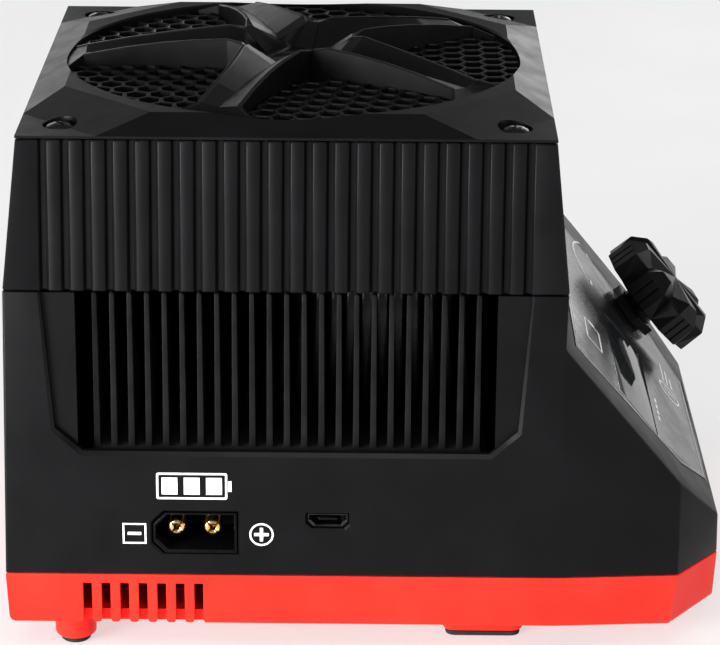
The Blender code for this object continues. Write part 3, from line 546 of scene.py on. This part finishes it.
def build_feet():
    x0, y0, x1, y1 = FRONT_FOOT
    half_x, half_y = (x1 - x0) / 2 - 0.6, (y1 - y0) / 2 - 0.6
    for side, word in ((-1, "left"), (1, "right")):
        foot = raw(lathe_mesh([(0.0, 0.25), (2.0, 0.0), (2.7, 0.0), (3.0, 0.3), (3.0, 1.0), (0.0, 1.0)]),
                   Matrix.Translation((REAR_FOOT[0], side * REAR_FOOT[1], 0.0)))
        done(foot, "pad_rear_" + word, RUBBER, ["foot_rear_" + word])
        foot = raw(plate_mesh([rounded_box(-half_x, -half_y, half_x, half_y, 2.0)], 0.0, 1.0, 0.25),
                   Matrix.Translation(((x0 + x1) / 2, side * (y0 + y1) / 2, 0.0)))
        done(foot, "pad_front_" + word, RUBBER, ["foot_front_" + word])


def cross_recess(z0, z1):
    """Two crossed arms that widen from z0 up to z1."""
    reach, half, arms = 1.5, 0.32, []
    for turn in (0, 90):
        mesh = loft_mesh([[(x * reach * s, y * half * s, z) for x, y in ((-1, -1), (1, -1), (1, 1), (-1, 1))]
                          for s, z in ((0.45, z0), (1.0, z1), (1.0, z1 + 2.0))])
        mesh.transform(Matrix.Rotation(math.radians(turn), 4, "Z"))
        arms.append(mesh)
    return arms


def build_screws():
    for i, (x, y) in enumerate(BASE_SCREWS):
        z = Z_TRAY + 1.2
        screw = raw(lathe_mesh([(0.0, 20.0), (1.4, 19.0), (1.4, 2.2), (2.6, 2.2), (2.8, 2.0), (2.8, 0.7),
                                (2.1, 0.2), (1.0, 0.0), (0.0, 0.0)], steps=32), Matrix.Translation((x, y, z)))
        upside = Matrix.Translation((x, y, z)) @ Matrix.Rotation(math.radians(180), 4, "X")
        carve(screw, "DIFFERENCE", *[(mesh, upside) for mesh in cross_recess(-1.5, 0.0)])
        done(screw, "case_screw_%d" % (i + 1), SCREW, ["base_screw_%d" % (i + 1)])
    button = [(2.95 * math.sin(a), 0.35 + 1.4 * math.cos(a))
              for a in [math.radians(d) for d in (0, 12, 25, 38, 52, 66, 80, 90)]]
    shank = [(2.95, 0.0), (1.5, 0.0), (1.5, -11.0), (0.0, -12.0)]
    for number, (x, y) in enumerate(LID_SCREWS, 1):
        at = Matrix.Translation((x, y, Z_TOP - 1.3))
        screw = raw(lathe_mesh(button + shank, steps=40), at)
        turned = at @ Matrix.Rotation(math.radians(20 + 17 * number), 4, "Z")
        carve(screw, "DIFFERENCE", *[(mesh, turned) for mesh in cross_recess(0.5, 1.8)])
        done(screw, "lid_screw_%d" % number, SCREW, ["guard_screw_%d" % number])


# ---- lower housing -----------------------------------------------------------
def side_y(z):
    return SIDE_BOTTOM - (SIDE_BOTTOM - HALF_SEAM) * (z - Z_SEAM) / (Z_SHROUD - Z_SEAM)


def housing_solids():
    """The housing's outer form with rounded corners, and the hollow inside it."""
    zb, zs = Z_SEAM + GAP / 2, Z_SHROUD - GAP / 2
    px, pz = SLOPE_TOP
    knee, nose = (77.75, 37.2), (86.7, 26.4)
    bm = bmesh.new()
    verts = {}
    for s, tag in ((-1, "n"), (1, "f")):
        points = {"a0": (-REAR_BOTTOM, s * SIDE_BOTTOM, zb), "a1": (54.0, s * SIDE_BOTTOM, zb),
                  "a2": (77.9, s * 53.4, zb), "a3": (87.1, s * 41.1, zb),
                  "t0": (-HALF_SEAM, s * HALF_SEAM, zs), "t1": (54.6, s * HALF_SEAM, zs),
                  "p2": (px, s * side_y(pz), pz), "p3": (knee[0], s * 53.4, knee[1]),
                  "pc": (nose[0], s * 43.2, nose[1])}
        for key, co in points.items():
            verts[key + tag] = bm.verts.new(co)
    loops = []
    for tag in "nf":
        loops += [[k + tag for k in loop]
                  for loop in (["a0", "a1", "p2", "t1", "t0"], ["a1", "a2", "p3", "p2"],
                               ["a2", "a3", "pc", "p3"])]
    loops += [["a3n", "a3f", "pcf", "pcn"], ["p2n", "p3n", "pcn", "pcf", "p3f", "p2f"],
              ["p2n", "p2f", "t1f", "t1n"], ["a0f", "a0n", "t0n", "t0f"]]
    for loop in loops:
        bm.faces.new([verts[k] for k in loop])
    caps = [bm.faces.new([verts[k] for k in loop])
            for loop in (["a0n", "a0f", "a1f", "a2f", "a3f", "a3n", "a2n", "a1n"],
                         ["t0n", "t1n", "t1f", "t0f"])]
    bmesh.ops.recalc_face_normals(bm, faces=bm.faces)
    inner = bm.copy()
    inner.faces.ensure_lookup_table()
    lids = {face.index for face in caps}
    inner.faces.index_update()
    moves = []
    for vert in inner.verts:
        normals = np.array([face.normal for face in vert.link_faces])
        shift = np.array([1.0 if face.index in lids else -WALL for face in vert.link_faces])
        moves.append(Vector(np.linalg.lstsq(normals, shift, rcond=None)[0]))
    for vert, move in zip(inner.verts, moves):
        vert.co += move
    weight = bm.edges.layers.float.new("bevel_weight_edge")
    for edge in bm.edges:
        edge[weight] = 0.4 if any(face in caps for face in edge.link_faces) else 1.0
    return to_mesh(bm, "housing"), to_mesh(inner, "hollow")


def label_outline(grow=0.0):
    near = [(LABEL_TOP[0] - grow, -LABEL_TOP[1] - grow), (LABEL_BEND[0], -LABEL_BEND[1] - grow * 1.1),
            (LABEL_END[0] + grow, -LABEL_END[1] - grow * 0.5)]
    return both_sides(near)


def window_outline(grow=0.0):
    return rounded_box(WINDOW_V[0] - grow, WINDOW_Y[0] - grow, WINDOW_V[1] + grow, WINDOW_Y[1] + grow, 0.8, 3)


def socket_outline(shrink=0.0):
    w, h, c = SOCKET_W / 2 - shrink, SOCKET_H / 2 - shrink, SOCKET_CHAMFER
    return [(-w, -h + c), (-w + c, -h), (w, -h), (w, h), (-w + c, h), (-w, h - c)]


def usb_outline(shrink=0.0):
    w, h = 4.2 - shrink, 1.6 - shrink
    return [(-w + 1.0, -h), (w - 1.0, -h), (w, -h + 1.0), (w, h), (-w, h), (-w, -h + 1.0)]


def side_window(g):
    """Outline of a side window grown by g, open at the top where the shroud closes it."""
    return [(-47.6 - g, Z_SHROUD + 3.0), (-47.6 - g, Z_SHROUD), (-45.4 - g, 48.2 - g * 0.5),
            (-40.0 - g * 0.4, 43.4 - g), (40.0 + g * 0.4, 43.4 - g), (45.4 + g, 48.2 - g * 0.5),
            (47.6 + g, Z_SHROUD), (47.6 + g, Z_SHROUD + 3.0)]


def build_housing():
    outer, hollow = housing_solids()
    housing = raw(outer)
    rounding = housing.modifiers.new("outer", "BEVEL")
    rounding.width = 0.5 * MM
    rounding.segments = 3
    rounding.limit_method = "WEIGHT"
    housing.modifiers.new("flat_faces", "TRIANGULATE")
    freeze(housing)
    carve(housing, "DIFFERENCE", triangles(hollow))
    for s in (-1, 1):
        lo, hi = sorted((s * 50.0, s * 58.0))
        carve(housing, "DIFFERENCE", (plate_mesh([side_window(0.0)], -hi, -lo), ALONG_Y))
        flare = [[(x, s * y, z) for x, z in side_window(g)]
                 for g, y in ((-0.2, 54.15), (1.2, 55.55), (1.2, 58.0))]
        carve(housing, "DIFFERENCE", loft_mesh(flare))
    inner = []
    for s in (-1, 1):
        for x0, x1 in ((-53.4, -41.0), (41.0, 53.0)):
            lo, hi = sorted((s * 53.3, s * 51.4))
            inner.append(box_mesh((x0, lo, 42.0), (x1, hi, Z_SHROUD - 0.6)))
        lo, hi = sorted((s * 53.6, s * 47.0))
        inner.append(box_mesh((-36.0, lo, 36.4), (36.0, hi, SINK_Z0 - GAP)))
        lo, hi = sorted((s * 41.3, s * 42.8))
        inner.append(box_mesh((lo, -51.6, 22.6), (hi, 51.6, Z_SHROUD - 0.3)))
    for x, y in BASE_SCREWS:
        inner.append(rod_mesh(4.2, Z_SEAM + 0.5, 34.0, (x, y)))
    carve(housing, "UNION", *inner)
    cuts = [rod_mesh(1.7, Z_SEAM - 2.0, 31.5, (x, y), 16) for x, y in BASE_SCREWS]
    for outline, x, z in ((socket_outline, SOCKET_X, SOCKET_Z), (usb_outline, USB_X, USB_Z)):
        at = Matrix.Translation((x, 0.0, z)) @ ALONG_Y
        cuts.append((plate_mesh([outline()], 50.0, 59.0), at))
        cuts.append((loft_mesh([[(px, py, h) for px, py in outline(-g)]
                                for g, h in ((0.0, 54.9), (0.35, 55.35), (0.35, 58.0))]), at))
    base = panel_matrix(0.0, 0.0)
    cuts += [(plate_mesh([label_outline(GAP)], -0.7, 3.0), base),
             (loft_mesh([[(px, py, h) for px, py in label_outline(g)]
                         for g, h in ((GAP, -0.25), (GAP + 0.3, 0.05), (GAP + 0.3, 3.0))]), base),
             (plate_mesh([window_outline(GAP)], -5.0, 3.0), base),
             (rod_mesh(KNOB_HOLE_R, -5.0, 3.0), panel_matrix(KNOB_V, KNOB_Y))]
    carve(housing, "DIFFERENCE", *cuts)
    flatten(housing, 0.3)
    done(housing, "housing_shell", HOUSING, ["lower_housing"])


# ---- fan shroud --------------------------------------------------------------
def grooved_ring(half, z, inset=0.0):
    """Square outline with upright grooves in every face, their lips and floors softened."""
    r, d = half - inset, GROOVE_DEPTH
    side = [(r - 0.45, -r + 0.05), (r - 0.05, -r + 0.45)]
    for i in range(GROOVES):
        y = (i - (GROOVES - 1) / 2) * GROOVE_PITCH
        m, f = GROOVE_MOUTH / 2, GROOVE_FLOOR / 2
        left = [(r, -m - 0.16), (r - 0.05, -m - 0.03), (r - 0.18, -m + 0.07),
                (r - d + 0.12, -f - 0.05), (r - d, -f + 0.08)]
        side += [(x, y + o) for x, o in left] + [(x, y - o) for x, o in reversed(left)]
    ring = []
    for c, s in ((1, 0), (0, 1), (-1, 0), (0, -1)):
        ring += [(x * c - y * s, x * s + y * c, z) for x, y in side]
    return ring


def build_shroud():
    z0, z1 = Z_SHROUD + GAP / 2, RIM_Z - GAP
    shroud = raw(loft_mesh([grooved_ring(HALF_SEAM, z0, 0.25), grooved_ring(HALF_SEAM - 0.03, z0 + 0.25),
                            grooved_ring(HALF_TOP + 0.03, z1 - 0.25), grooved_ring(HALF_TOP, z1, 0.25)]))
    well = [[(x, y, FAN_Z0 - GAP) for x, y in octagon(50.6, POST_CUT)],
            [(x, y, z1 + 1.0) for x, y in octagon(48.4, POST_CUT)]]
    carve(shroud, "DIFFERENCE", loft_mesh(well), rod_mesh(44.5, Z_SHROUD - 1.0, FAN_Z0 + 2.0, steps=72))
    pits = []
    for at in LID_SCREWS:
        pits += [rod_mesh(4.2, 103.4, z1 + 1.0, at), rod_mesh(1.8, 90.0, 104.0, at, 16)]
    carve(shroud, "DIFFERENCE", *pits)
    done(shroud, "shroud_body", HOUSING, ["fan_shroud"])


# ---- guard ---------------------------------------------------------------------
def dome(radius):
    return (RING_R ** 2 - radius ** 2) / (2 * DOME_R)


def spoke_rings():
    """Sections of one V-shaped spoke along +X, ridge to ridge, with a rounded rim on each ridge."""
    lap = 0.06
    stations = [(4.0, 4.0 * TAN36 - 0.2, 4.0 * TAN36 + lap, -0.3, -0.32),
                (6.2, 6.2 * TAN36 - 0.2, 6.2 * TAN36 + lap, 0.06, 0.0),
                (10.3, 5.75, 10.3 * TAN36 + lap, 4.0, 0.8)]
    for s, w, valley in SPOKE:
        stations.append((s, w, w + RIM, dome(math.hypot(s, w)), valley))
    stations.append((46.9, 8.8, 8.8 + RIM, -1.4, -1.42))
    low = PLATE_Z - Z_RING + 0.15
    rings = []
    for s, w, edge, ridge, valley in stations:
        r = min(0.22, (edge - w) * 0.3)
        half = [(w - 0.35 * r, ridge - r), (w + 0.6 * r, ridge), (edge - r, ridge), (edge, ridge - r)]
        rings.append([(s, -y, Z_RING + h) for y, h in reversed(half)] + [(s, 0.0, Z_RING + valley)]
                     + [(s, y, Z_RING + h) for y, h in half]
                     + [(s, edge, Z_RING + low), (s, -edge, Z_RING + low)])
    return rings


def wedge_mesh():
    """Facet that climbs from the hub to the inner corner of an opening, along +X."""
    return loft_mesh([[(x, -w, PLATE_Z + 0.1), (x, w, PLATE_Z + 0.1), (x, w, Z_RING + h), (x, -w, Z_RING + h)]
                      for x, w, h in ((5.9, 2.05, 0.02), (11.9, 1.3, 4.15), (12.7, 1.15, 4.0))])


def build_guard():
    square = [(x * HALF_TOP, y * HALF_TOP) for x, y in ((-1, -1), (1, -1), (1, 1), (-1, 1))]
    guard = raw(plate_mesh([square], RIM_Z, Z_TOP))
    outer = (HALF_TOP - 0.01, HALF_TOP + 36.4)
    rings = [[(x, y, z) for x, y in octagon(half, corner)]
             for half, corner, z in ((*outer, Z_TOP - 0.3), (*outer, Z_TOP), (44.6, 44.6 + 26.3, Z_RING))]
    carve(guard, "UNION", plate_mesh([octagon(48.1, POST_CUT - GAP)], PLATE_Z, Z_TOP - 0.2), loft_mesh(rings))
    carve(guard, "UNION", *[rod_mesh(3.85, 103.7, Z_TOP - 0.2, at) for at in LID_SCREWS])
    opening = [(RING_R, PLATE_Z - 2.0), (RING_R, Z_RING - 0.35), (RING_R + 0.35, Z_RING),
               (RING_R + 2.0, Z_RING + 1.65), (RING_R + 2.0, Z_RING + 3.0)]
    carve(guard, "DIFFERENCE", lathe_mesh(opening, steps=120))
    spokes = [(loft_mesh(spoke_rings()), Matrix.Rotation(math.radians(36 + 72 * k), 4, "Z"))
              for k in range(SPOKES)]
    carve(guard, "UNION", *spokes)
    carve(guard, "UNION", plate_mesh([arc(7.5, 0, 288, 4)], PLATE_Z + 0.05, Z_RING),
          *[(wedge_mesh(), Matrix.Rotation(math.radians(72 * k), 4, "Z")) for k in range(SPOKES)])
    pits = []
    pit = [(3.4, Z_TOP - 1.6), (3.4, Z_TOP + 0.4), (3.75, Z_RING), (3.75, Z_RING + 1.0)]
    for at in LID_SCREWS:
        pits += [lathe_mesh(pit, at, 40), rod_mesh(1.8, 102.0, Z_TOP - 0.9, at, 16)]
    carve(guard, "DIFFERENCE", *pits)
    flatten(guard, 0.3)
    done(guard, "guard_petals", HOUSING, ["fan_guard"], smooth=6)


def build_screens():
    """Honeycomb whose cells run on under the rims, cut off where a pocket ends."""
    top = Z_RING - 1.2
    corners = [(42.6, 5.1), (34.0, 5.05), (27.0, 5.3), (20.0, 5.95), (15.0, 6.8)]
    upper = [(a * math.cos(math.radians(36)) + w * math.sin(math.radians(36)),
              a * math.sin(math.radians(36)) - w * math.cos(math.radians(36))) for a, w in corners]
    outline = arc(RING_R - 0.4, -25, 25, 12) + upper + [(x, -y) for x, y in reversed(upper)]
    radius = (HEX_PITCH - HEX_WEB) / math.sqrt(3)
    cells = []
    for i in range(-1, 14):
        for j in range(-10, 11):
            x = 16.2 + i * HEX_PITCH * math.sqrt(3) / 2
            y = (j + (i % 2) / 2) * HEX_PITCH
            if 10.0 < math.hypot(x, y) < RING_R + 3.0 and abs(y) < x * TAN36 + 2.0:
                cells.append(loft_mesh([[(px, py, z) for px, py in arc(radius + g, 0, 300, 5, (x, y))]
                                        for g, z in ((0.0, top - 2.0), (0.0, top - 0.2),
                                                     (0.2, top), (0.2, top + 0.5))]))
    screen = raw(plate_mesh([outline], top - 1.2, top))
    carve(screen, "DIFFERENCE", merged(cells))
    for k in range(SPOKES):
        copy = raw(screen.data.copy(), Matrix.Rotation(math.radians(72 * k), 4, "Z"))
        done(copy, "honeycomb_%d" % (k + 1), HOUSING, ["guard_screen_%d" % (k + 1)])
    bpy.data.objects.remove(screen, do_unlink=True)


# ---- heat sink, sockets ----------------------------------------------------------
def build_heat_sink():
    profile = [(-SINK_X, SINK_Z0), (SINK_X, SINK_Z0), (SINK_X, SINK_Z1)]
    for i in reversed(range(FIN_COUNT)):
        x = (i - (FIN_COUNT - 1) / 2) * FIN_PITCH
        half = [(FIN_FOOT / 2 + 0.3, SINK_Z1), (FIN_FOOT / 2 + 0.08, SINK_Z1 + 0.1),
                (FIN_FOOT / 2, SINK_Z1 + 0.4), (FIN_TIP / 2, FIN_Z - 0.3), (FIN_TIP / 2 - 0.25, FIN_Z)]
        if i == FIN_COUNT - 1:
            profile.pop()
            profile += [(x + dx, z) for dx, z in half[2:]]
        else:
            profile += [(x + dx, z) for dx, z in half]
        profile += [(x - dx, z) for dx, z in (reversed(half) if i else reversed(half[2:]))]
    sink = raw(plate_mesh([profile], -SINK_Y, SINK_Y, 0.12), ALONG_Y)
    done(sink, "fin_block", ANODISED, ["heat_sink"])


def build_ports():
    at = Matrix.Translation((SOCKET_X, 0.0, SOCKET_Z)) @ ALONG_Y
    socket = raw(plate_mesh([socket_outline(GAP)], 38.0, 55.1, 0.15), at)
    mouth = loft_mesh([[(x, y, z) for x, y in socket_outline(s)]
                       for s, z in ((0.85, 42.0), (0.85, 54.7), (0.62, 55.0), (0.62, 60.0))])
    carve(socket, "DIFFERENCE", (mouth, at))
    for s, word in ((-1, "minus"), (1, "plus")):
        spot = at @ Matrix.Translation((s * PIN_PITCH / 2 - 0.25, 0.1, 0.0))
        carve(socket, "DIFFERENCE", (rod_mesh(PIN_R + GAP, 36.0, 44.0, steps=24), spot))
        tip = [(PIN_R, 52.0), (PIN_R - 0.1, 52.3), (PIN_R - 0.4, 52.55), (PIN_R - 0.75, 52.6), (0.62, 52.4),
               (0.55, 52.0), (0.55, 47.0), (0.0, 46.6)]
        pin = raw(lathe_mesh([(0.0, 36.3), (PIN_R - 0.1, 36.3), (PIN_R, 36.4)] + tip, steps=40), spot)
        for turn in (45, 135):
            slit = box_mesh((-0.17, -3.0, 46.9), (0.17, 3.0, 54.0))
            carve(pin, "DIFFERENCE", (slit, spot @ Matrix.Rotation(math.radians(turn), 4, "Z")))
        done(pin, "contact_" + word, GOLD, ["socket_pin_" + word])
    done(socket, "socket_body", SOCKET, ["battery_socket"])
    at = Matrix.Translation((USB_X, 0.0, USB_Z)) @ ALONG_Y
    port = raw(plate_mesh([usb_outline(GAP)], 48.8, 54.5), at)
    mouth = loft_mesh([[(x, y, z) for x, y in usb_outline(s)]
                       for s, z in ((0.65, 49.6), (0.65, 54.2), (0.45, 54.5), (0.45, 56.0))])
    carve(port, "DIFFERENCE", (mouth, at))
    done(port, "usb_shell", SCREW, ["usb_port"])
    tongue = raw(plate_mesh([rounded_box(-2.0, 49.7, 2.0, 54.0, 0.3)], -0.2, 0.35, 0.06),
                 Matrix.Translation((USB_X, 0.0, USB_Z)) @ Matrix.Scale(-1, 4, (0, 1, 0)))
    done(tongue, "usb_tongue", SOCKET)


# ---- prints ------------------------------------------------------------------------
def strip(points, width):
    """Outline of a line of constant width through the points."""
    left, right = [], []
    for i, (x, y) in enumerate(points):
        a, b = points[max(i - 1, 0)], points[min(i + 1, len(points) - 1)]
        d = Vector((b[0] - a[0], b[1] - a[1])).normalized() * (width / 2)
        left.append((x - d.y, y + d.x))
        right.append((x + d.y, y - d.x))
    return left + right[::-1]


def circle(radius, at=(0.0, 0.0), steps=40):
    return arc(radius, 0, 360 - 360 / steps, steps - 1, at)


def plus(size, width, at=(0.0, 0.0)):
    a, b = size / 2, width / 2
    return [(at[0] + x, at[1] + y) for x, y in ((a, -b), (a, b), (b, b), (b, a), (-b, a), (-b, b), (-a, b),
                                                (-a, -b), (-b, -b), (-b, -a), (b, -a), (b, -b))]


def rect(x0, y0, x1, y1):
    return [(x0, y0), (x1, y0), (x1, y1), (x0, y1)]


def battery_icon(x, y, w, h, line, bars):
    """A battery drawn as an outline, a terminal and charge bars; every group is one filled shape."""
    groups = [[rounded_box(x - w / 2, y - h / 2, x + w / 2, y + h / 2, line),
               rounded_box(x - w / 2 + line, y - h / 2 + line,
                           x + w / 2 - line, y + h / 2 - line, line * 0.5)],
              [rect(x + w / 2 + line * 0.4, y - h * 0.2, x + w / 2 + line * 2.0, y + h * 0.2)]]
    step = (w - 2 * line) / bars
    for i in range(bars):
        x0 = x - w / 2 + line + step * i
        groups.append([rect(x0 + line * 1.5, y - h / 2 + 2.4 * line,
                            x0 + step - line * 1.5, y + h / 2 - 2.4 * line)])
    return groups


def print_on(name, groups, matrix, mat):
    mesh = merged([plate_mesh(loops, 0.0, PRINT_THICK) for loops in groups])
    done(raw(mesh, matrix), name, mat)


def build_prints():
    tilt = math.atan2(SIDE_BOTTOM - HALF_SEAM, Z_SHROUD - Z_SEAM)
    spot = Matrix.Translation((0.0, -side_y(PRINT_Z) - 0.005, PRINT_Z))
    side = spot @ ALONG_Y @ Matrix.Rotation(-tilt, 4, "X")

    def up(z):
        return z - PRINT_Z

    zm = up(26.2)
    groups = [[rect(-32.4, zm - 2.2, -27.7, zm + 2.2), rect(-32.05, zm - 1.85, -28.05, zm + 1.85)],
              [rect(-31.4, zm - 0.32, -28.7, zm + 0.32)],
              [circle(2.42, (-4.9, zm)), circle(2.04, (-4.9, zm))],
              [plus(2.9, 0.64, (-4.9, zm))]]
    groups += battery_icon(-18.6, up(36.4), 14.0, 5.6, 0.42, 3)
    print_on("side_print", groups, side, INK)

    base = panel_matrix(0.0, 0.0, 0.012)
    inner = [(p[0], p[1]) for p in label_outline(-0.9)]
    outer = [(p[0], p[1]) for p in label_outline(-0.65)]
    print_on("label_border", [[outer, inner]], base, INK_GREY)
    around = [(KNOB_V - 20.0 * math.cos(math.radians(a)), KNOB_Y + 20.0 * math.sin(math.radians(a)))
              for a in range(-38, 37, 4)]
    groups = [[strip(around, 0.55)], [rect(15.2, 19.6, 15.9, 22.4)], [plus(2.9, 0.7, (16.2, 40.9))]]
    groups.append([rounded_box(9.4, -26.0, 14.6, -14.0, 0.6), rounded_box(9.85, -25.55, 14.15, -14.45, 0.3)])
    groups.append([rect(11.0, -13.8, 13.0, -12.9)])
    for i in range(4):
        groups.append([rect(33.5, -25.0 + 3.4 * i, 34.2, -22.8 + 3.4 * i)])
    groups += [[circle(3.6, (41.5, 6.0)), circle(3.1, (41.5, 6.0))],
               [strip([(39.7, 6.6), (41.5, 4.9), (41.5, 7.1), (43.3, 5.4)], 0.5)]]
    for i in range(3):
        groups.append([rect(40.0 + 1.5 * i, 11.5, 40.5 + 1.5 * i, 21.5 - 1.8 * i)])
    print_on("label_print", groups, base, INK)


# ---- panel and knob ------------------------------------------------------------------
def build_panel():
    base = panel_matrix(0.0, 0.0)
    hole = circle(KNOB_HOLE_R, (KNOB_V, KNOB_Y), 32)
    label = raw(plate_mesh([label_outline(), window_outline(GAP), hole], -0.4, 0.0, 0.05), base)
    done(label, "label_film", LABEL, ["panel_label"])
    window = raw(plate_mesh([window_outline()], -1.7, -0.05, 0.12), base)
    done(window, "display_glass", GLASS, ["lcd_window"])


def knob_outline(tip, spread, valley, groove=0.0):
    """Seven lobes; tip and valley are (radius, height above the skirt); a tip has two fine grooves."""
    ring = []
    for k in range(KNOB_LOBES):
        middle = 360.0 / KNOB_LOBES * k - 12.0
        r, z = tip
        for part, dent in LOBE_TIP:
            a = math.radians(spread * part)
            flat = r * math.cos(math.radians(spread)) / math.cos(a) - groove * dent
            turn = math.radians(middle) + a
            ring.append((flat * math.cos(turn), flat * math.sin(turn), KNOB_BASE + z))
        turn = math.radians(middle + 180.0 / KNOB_LOBES)
        ring.append((valley[0] * math.cos(turn), valley[0] * math.sin(turn), KNOB_BASE + valley[1]))
    return ring


def build_knob():
    at = panel_matrix(KNOB_V, KNOB_Y)
    top = KNOB_TOP - KNOB_BASE
    rings = [knob_outline((KNOB_R - 0.2, 0.0), 13.5, (12.4, 0.0), 0.1),
             knob_outline((KNOB_R, 0.2), 13.5, (12.5, 0.2), 0.3),
             knob_outline((KNOB_R - 0.12, 5.6), 13.5, (10.1, 5.5), 0.3),
             knob_outline((KNOB_R - 0.18, 6.0), 13.5, (9.9, 5.85), 0.0),
             knob_outline((KNOB_R - 0.35, 6.2), 13.2, (9.8, 6.0)),
             knob_outline((11.1, top - 0.12), 8.0, (9.2, 6.45)),
             knob_outline((10.7, top), 8.0, (8.9, 6.6)),
             knob_outline((1.0, top), 8.0, (1.0, top - 0.1))]
    knob = raw(triangles(loft_mesh(rings)), at)
    carve(knob, "DIFFERENCE", (rod_mesh(3.2, KNOB_BASE - 1.0, 11.5, steps=28), at))
    done(knob, "dial_cap", KNOB, ["knob"], "dial", smooth=9)


# ---- stage, light, camera ---------------------------------------------------------------
def build_stage():
    """A plain pale floor that glows slightly, a faint white world and five soft lights."""
    bm = bmesh.new()
    bmesh.ops.create_grid(bm, x_segments=8, y_segments=8, size=6000.0)
    floor = bpy.data.objects.new("floor", to_mesh(bm, "floor"))
    bpy.context.scene.collection.objects.link(floor)
    floor.location = (0.0, 0.0, -0.02 * MM)
    m = Nodes("floor_white", (0.27, 0.27, 0.27), 0.7)
    m.link(m.ramp(m.noise(400.0), [(0.3, (0.265, 0.265, 0.265)), (0.7, (0.275, 0.275, 0.275))]),
           m.shader.inputs["Base Color"])
    m.spread(m.noise(60.0), 0.6, 0.75)
    m.set("Emission Color", (1.0, 1.0, 1.0, 1.0))
    m.set("Emission Strength", 0.6)
    floor.data.materials.append(m.mat)

    world = bpy.data.worlds.new("studio")
    world.use_nodes = True
    background = world.node_tree.nodes["Background"]
    background.inputs["Color"].default_value = (1.0, 1.0, 1.0, 1.0)
    background.inputs["Strength"].default_value = 0.15
    bpy.context.scene.world = world

    def softbox(name, where, towards, width, height, watts):
        light = bpy.data.lights.new(name, "AREA")
        light.shape = "RECTANGLE"
        light.size, light.size_y, light.energy = width, height, watts
        obj = bpy.data.objects.new(name, light)
        bpy.context.scene.collection.objects.link(obj)
        obj.location = where
        obj.visible_camera = False
        obj.rotation_euler = (Vector(towards) - Vector(where)).to_track_quat("-Z", "Y").to_euler()

    softbox("front_top", (-0.25, -0.9, 1.5), (0.0, 0.1, 0.0), 1.4, 0.9, 17.5)
    softbox("left_front", (-0.62, -0.6, 0.16), (-0.04, 0.0, 0.06), 0.4, 0.3, 17.0)
    softbox("right", (0.9, -0.2, 0.35), (0.05, 0.0, 0.04), 0.4, 0.4, 3.0)
    softbox("back_left", (-0.75, 2.0, 0.5), (0.0, 0.0, 0.1), 0.9, 0.7, 4.0)
    softbox("back_right", (0.75, 2.0, 0.5), (0.0, 0.0, 0.1), 0.9, 0.7, 9.0)


def build_camera():
    """The photograph's viewpoint: square on to the socket side, looking about 20 degrees down."""
    yaw, pitch, roll = CAMERA_YAW, CAMERA_PITCH, CAMERA_ROLL
    forward = Vector((math.sin(yaw) * math.cos(pitch), math.cos(yaw) * math.cos(pitch), -math.sin(pitch)))
    right = Vector((math.cos(yaw), -math.sin(yaw), 0.0))
    up = right.cross(forward)
    right_r = math.cos(roll) * right + math.sin(roll) * up
    up_r = -math.sin(roll) * right + math.cos(roll) * up
    data = bpy.data.cameras.new("camera")
    data.sensor_width = CAMERA_SENSOR
    data.lens = CAMERA_LENS
    data.clip_start, data.clip_end = 0.02, 30.0
    camera = bpy.data.objects.new("camera", data)
    bpy.context.scene.collection.objects.link(camera)
    matrix = Matrix((right_r, up_r, -forward)).transposed().to_4x4()
    matrix.translation = Vector((CAMERA_AT[0] + FAN_X, *CAMERA_AT[1:])) * MM
    camera.matrix_world = matrix
    bpy.context.scene.camera = camera


build_camera()
build_tray()
build_feet()
build_screws()
build_housing()
build_shroud()
build_guard()
build_screens()
build_heat_sink()
build_ports()
build_prints()
build_panel()
build_knob()
for mat, names in ((FAN, ("fan_frame", "fan_rotor")),
                   (BOARD, ("main_pcb", "usb_board", "control_pcb")),
                   (CHIP, ("mosfet_1", "mosfet_2", "mosfet_3", "mosfet_4", "capacitor_1", "capacitor_2",
                           "buzzer", "encoder_rotor")),
                   (SHUNT, ("shunt_resistor",)),
                   (DISPLAY, ("lcd_module",)),
                   (SOCKET, ("encoder_body", "encoder_nut", "encoder_shaft"))):
    for name in names:
        dress(name, mat)
build_stage()
bpy.context.scene.view_settings.view_transform = "Standard"
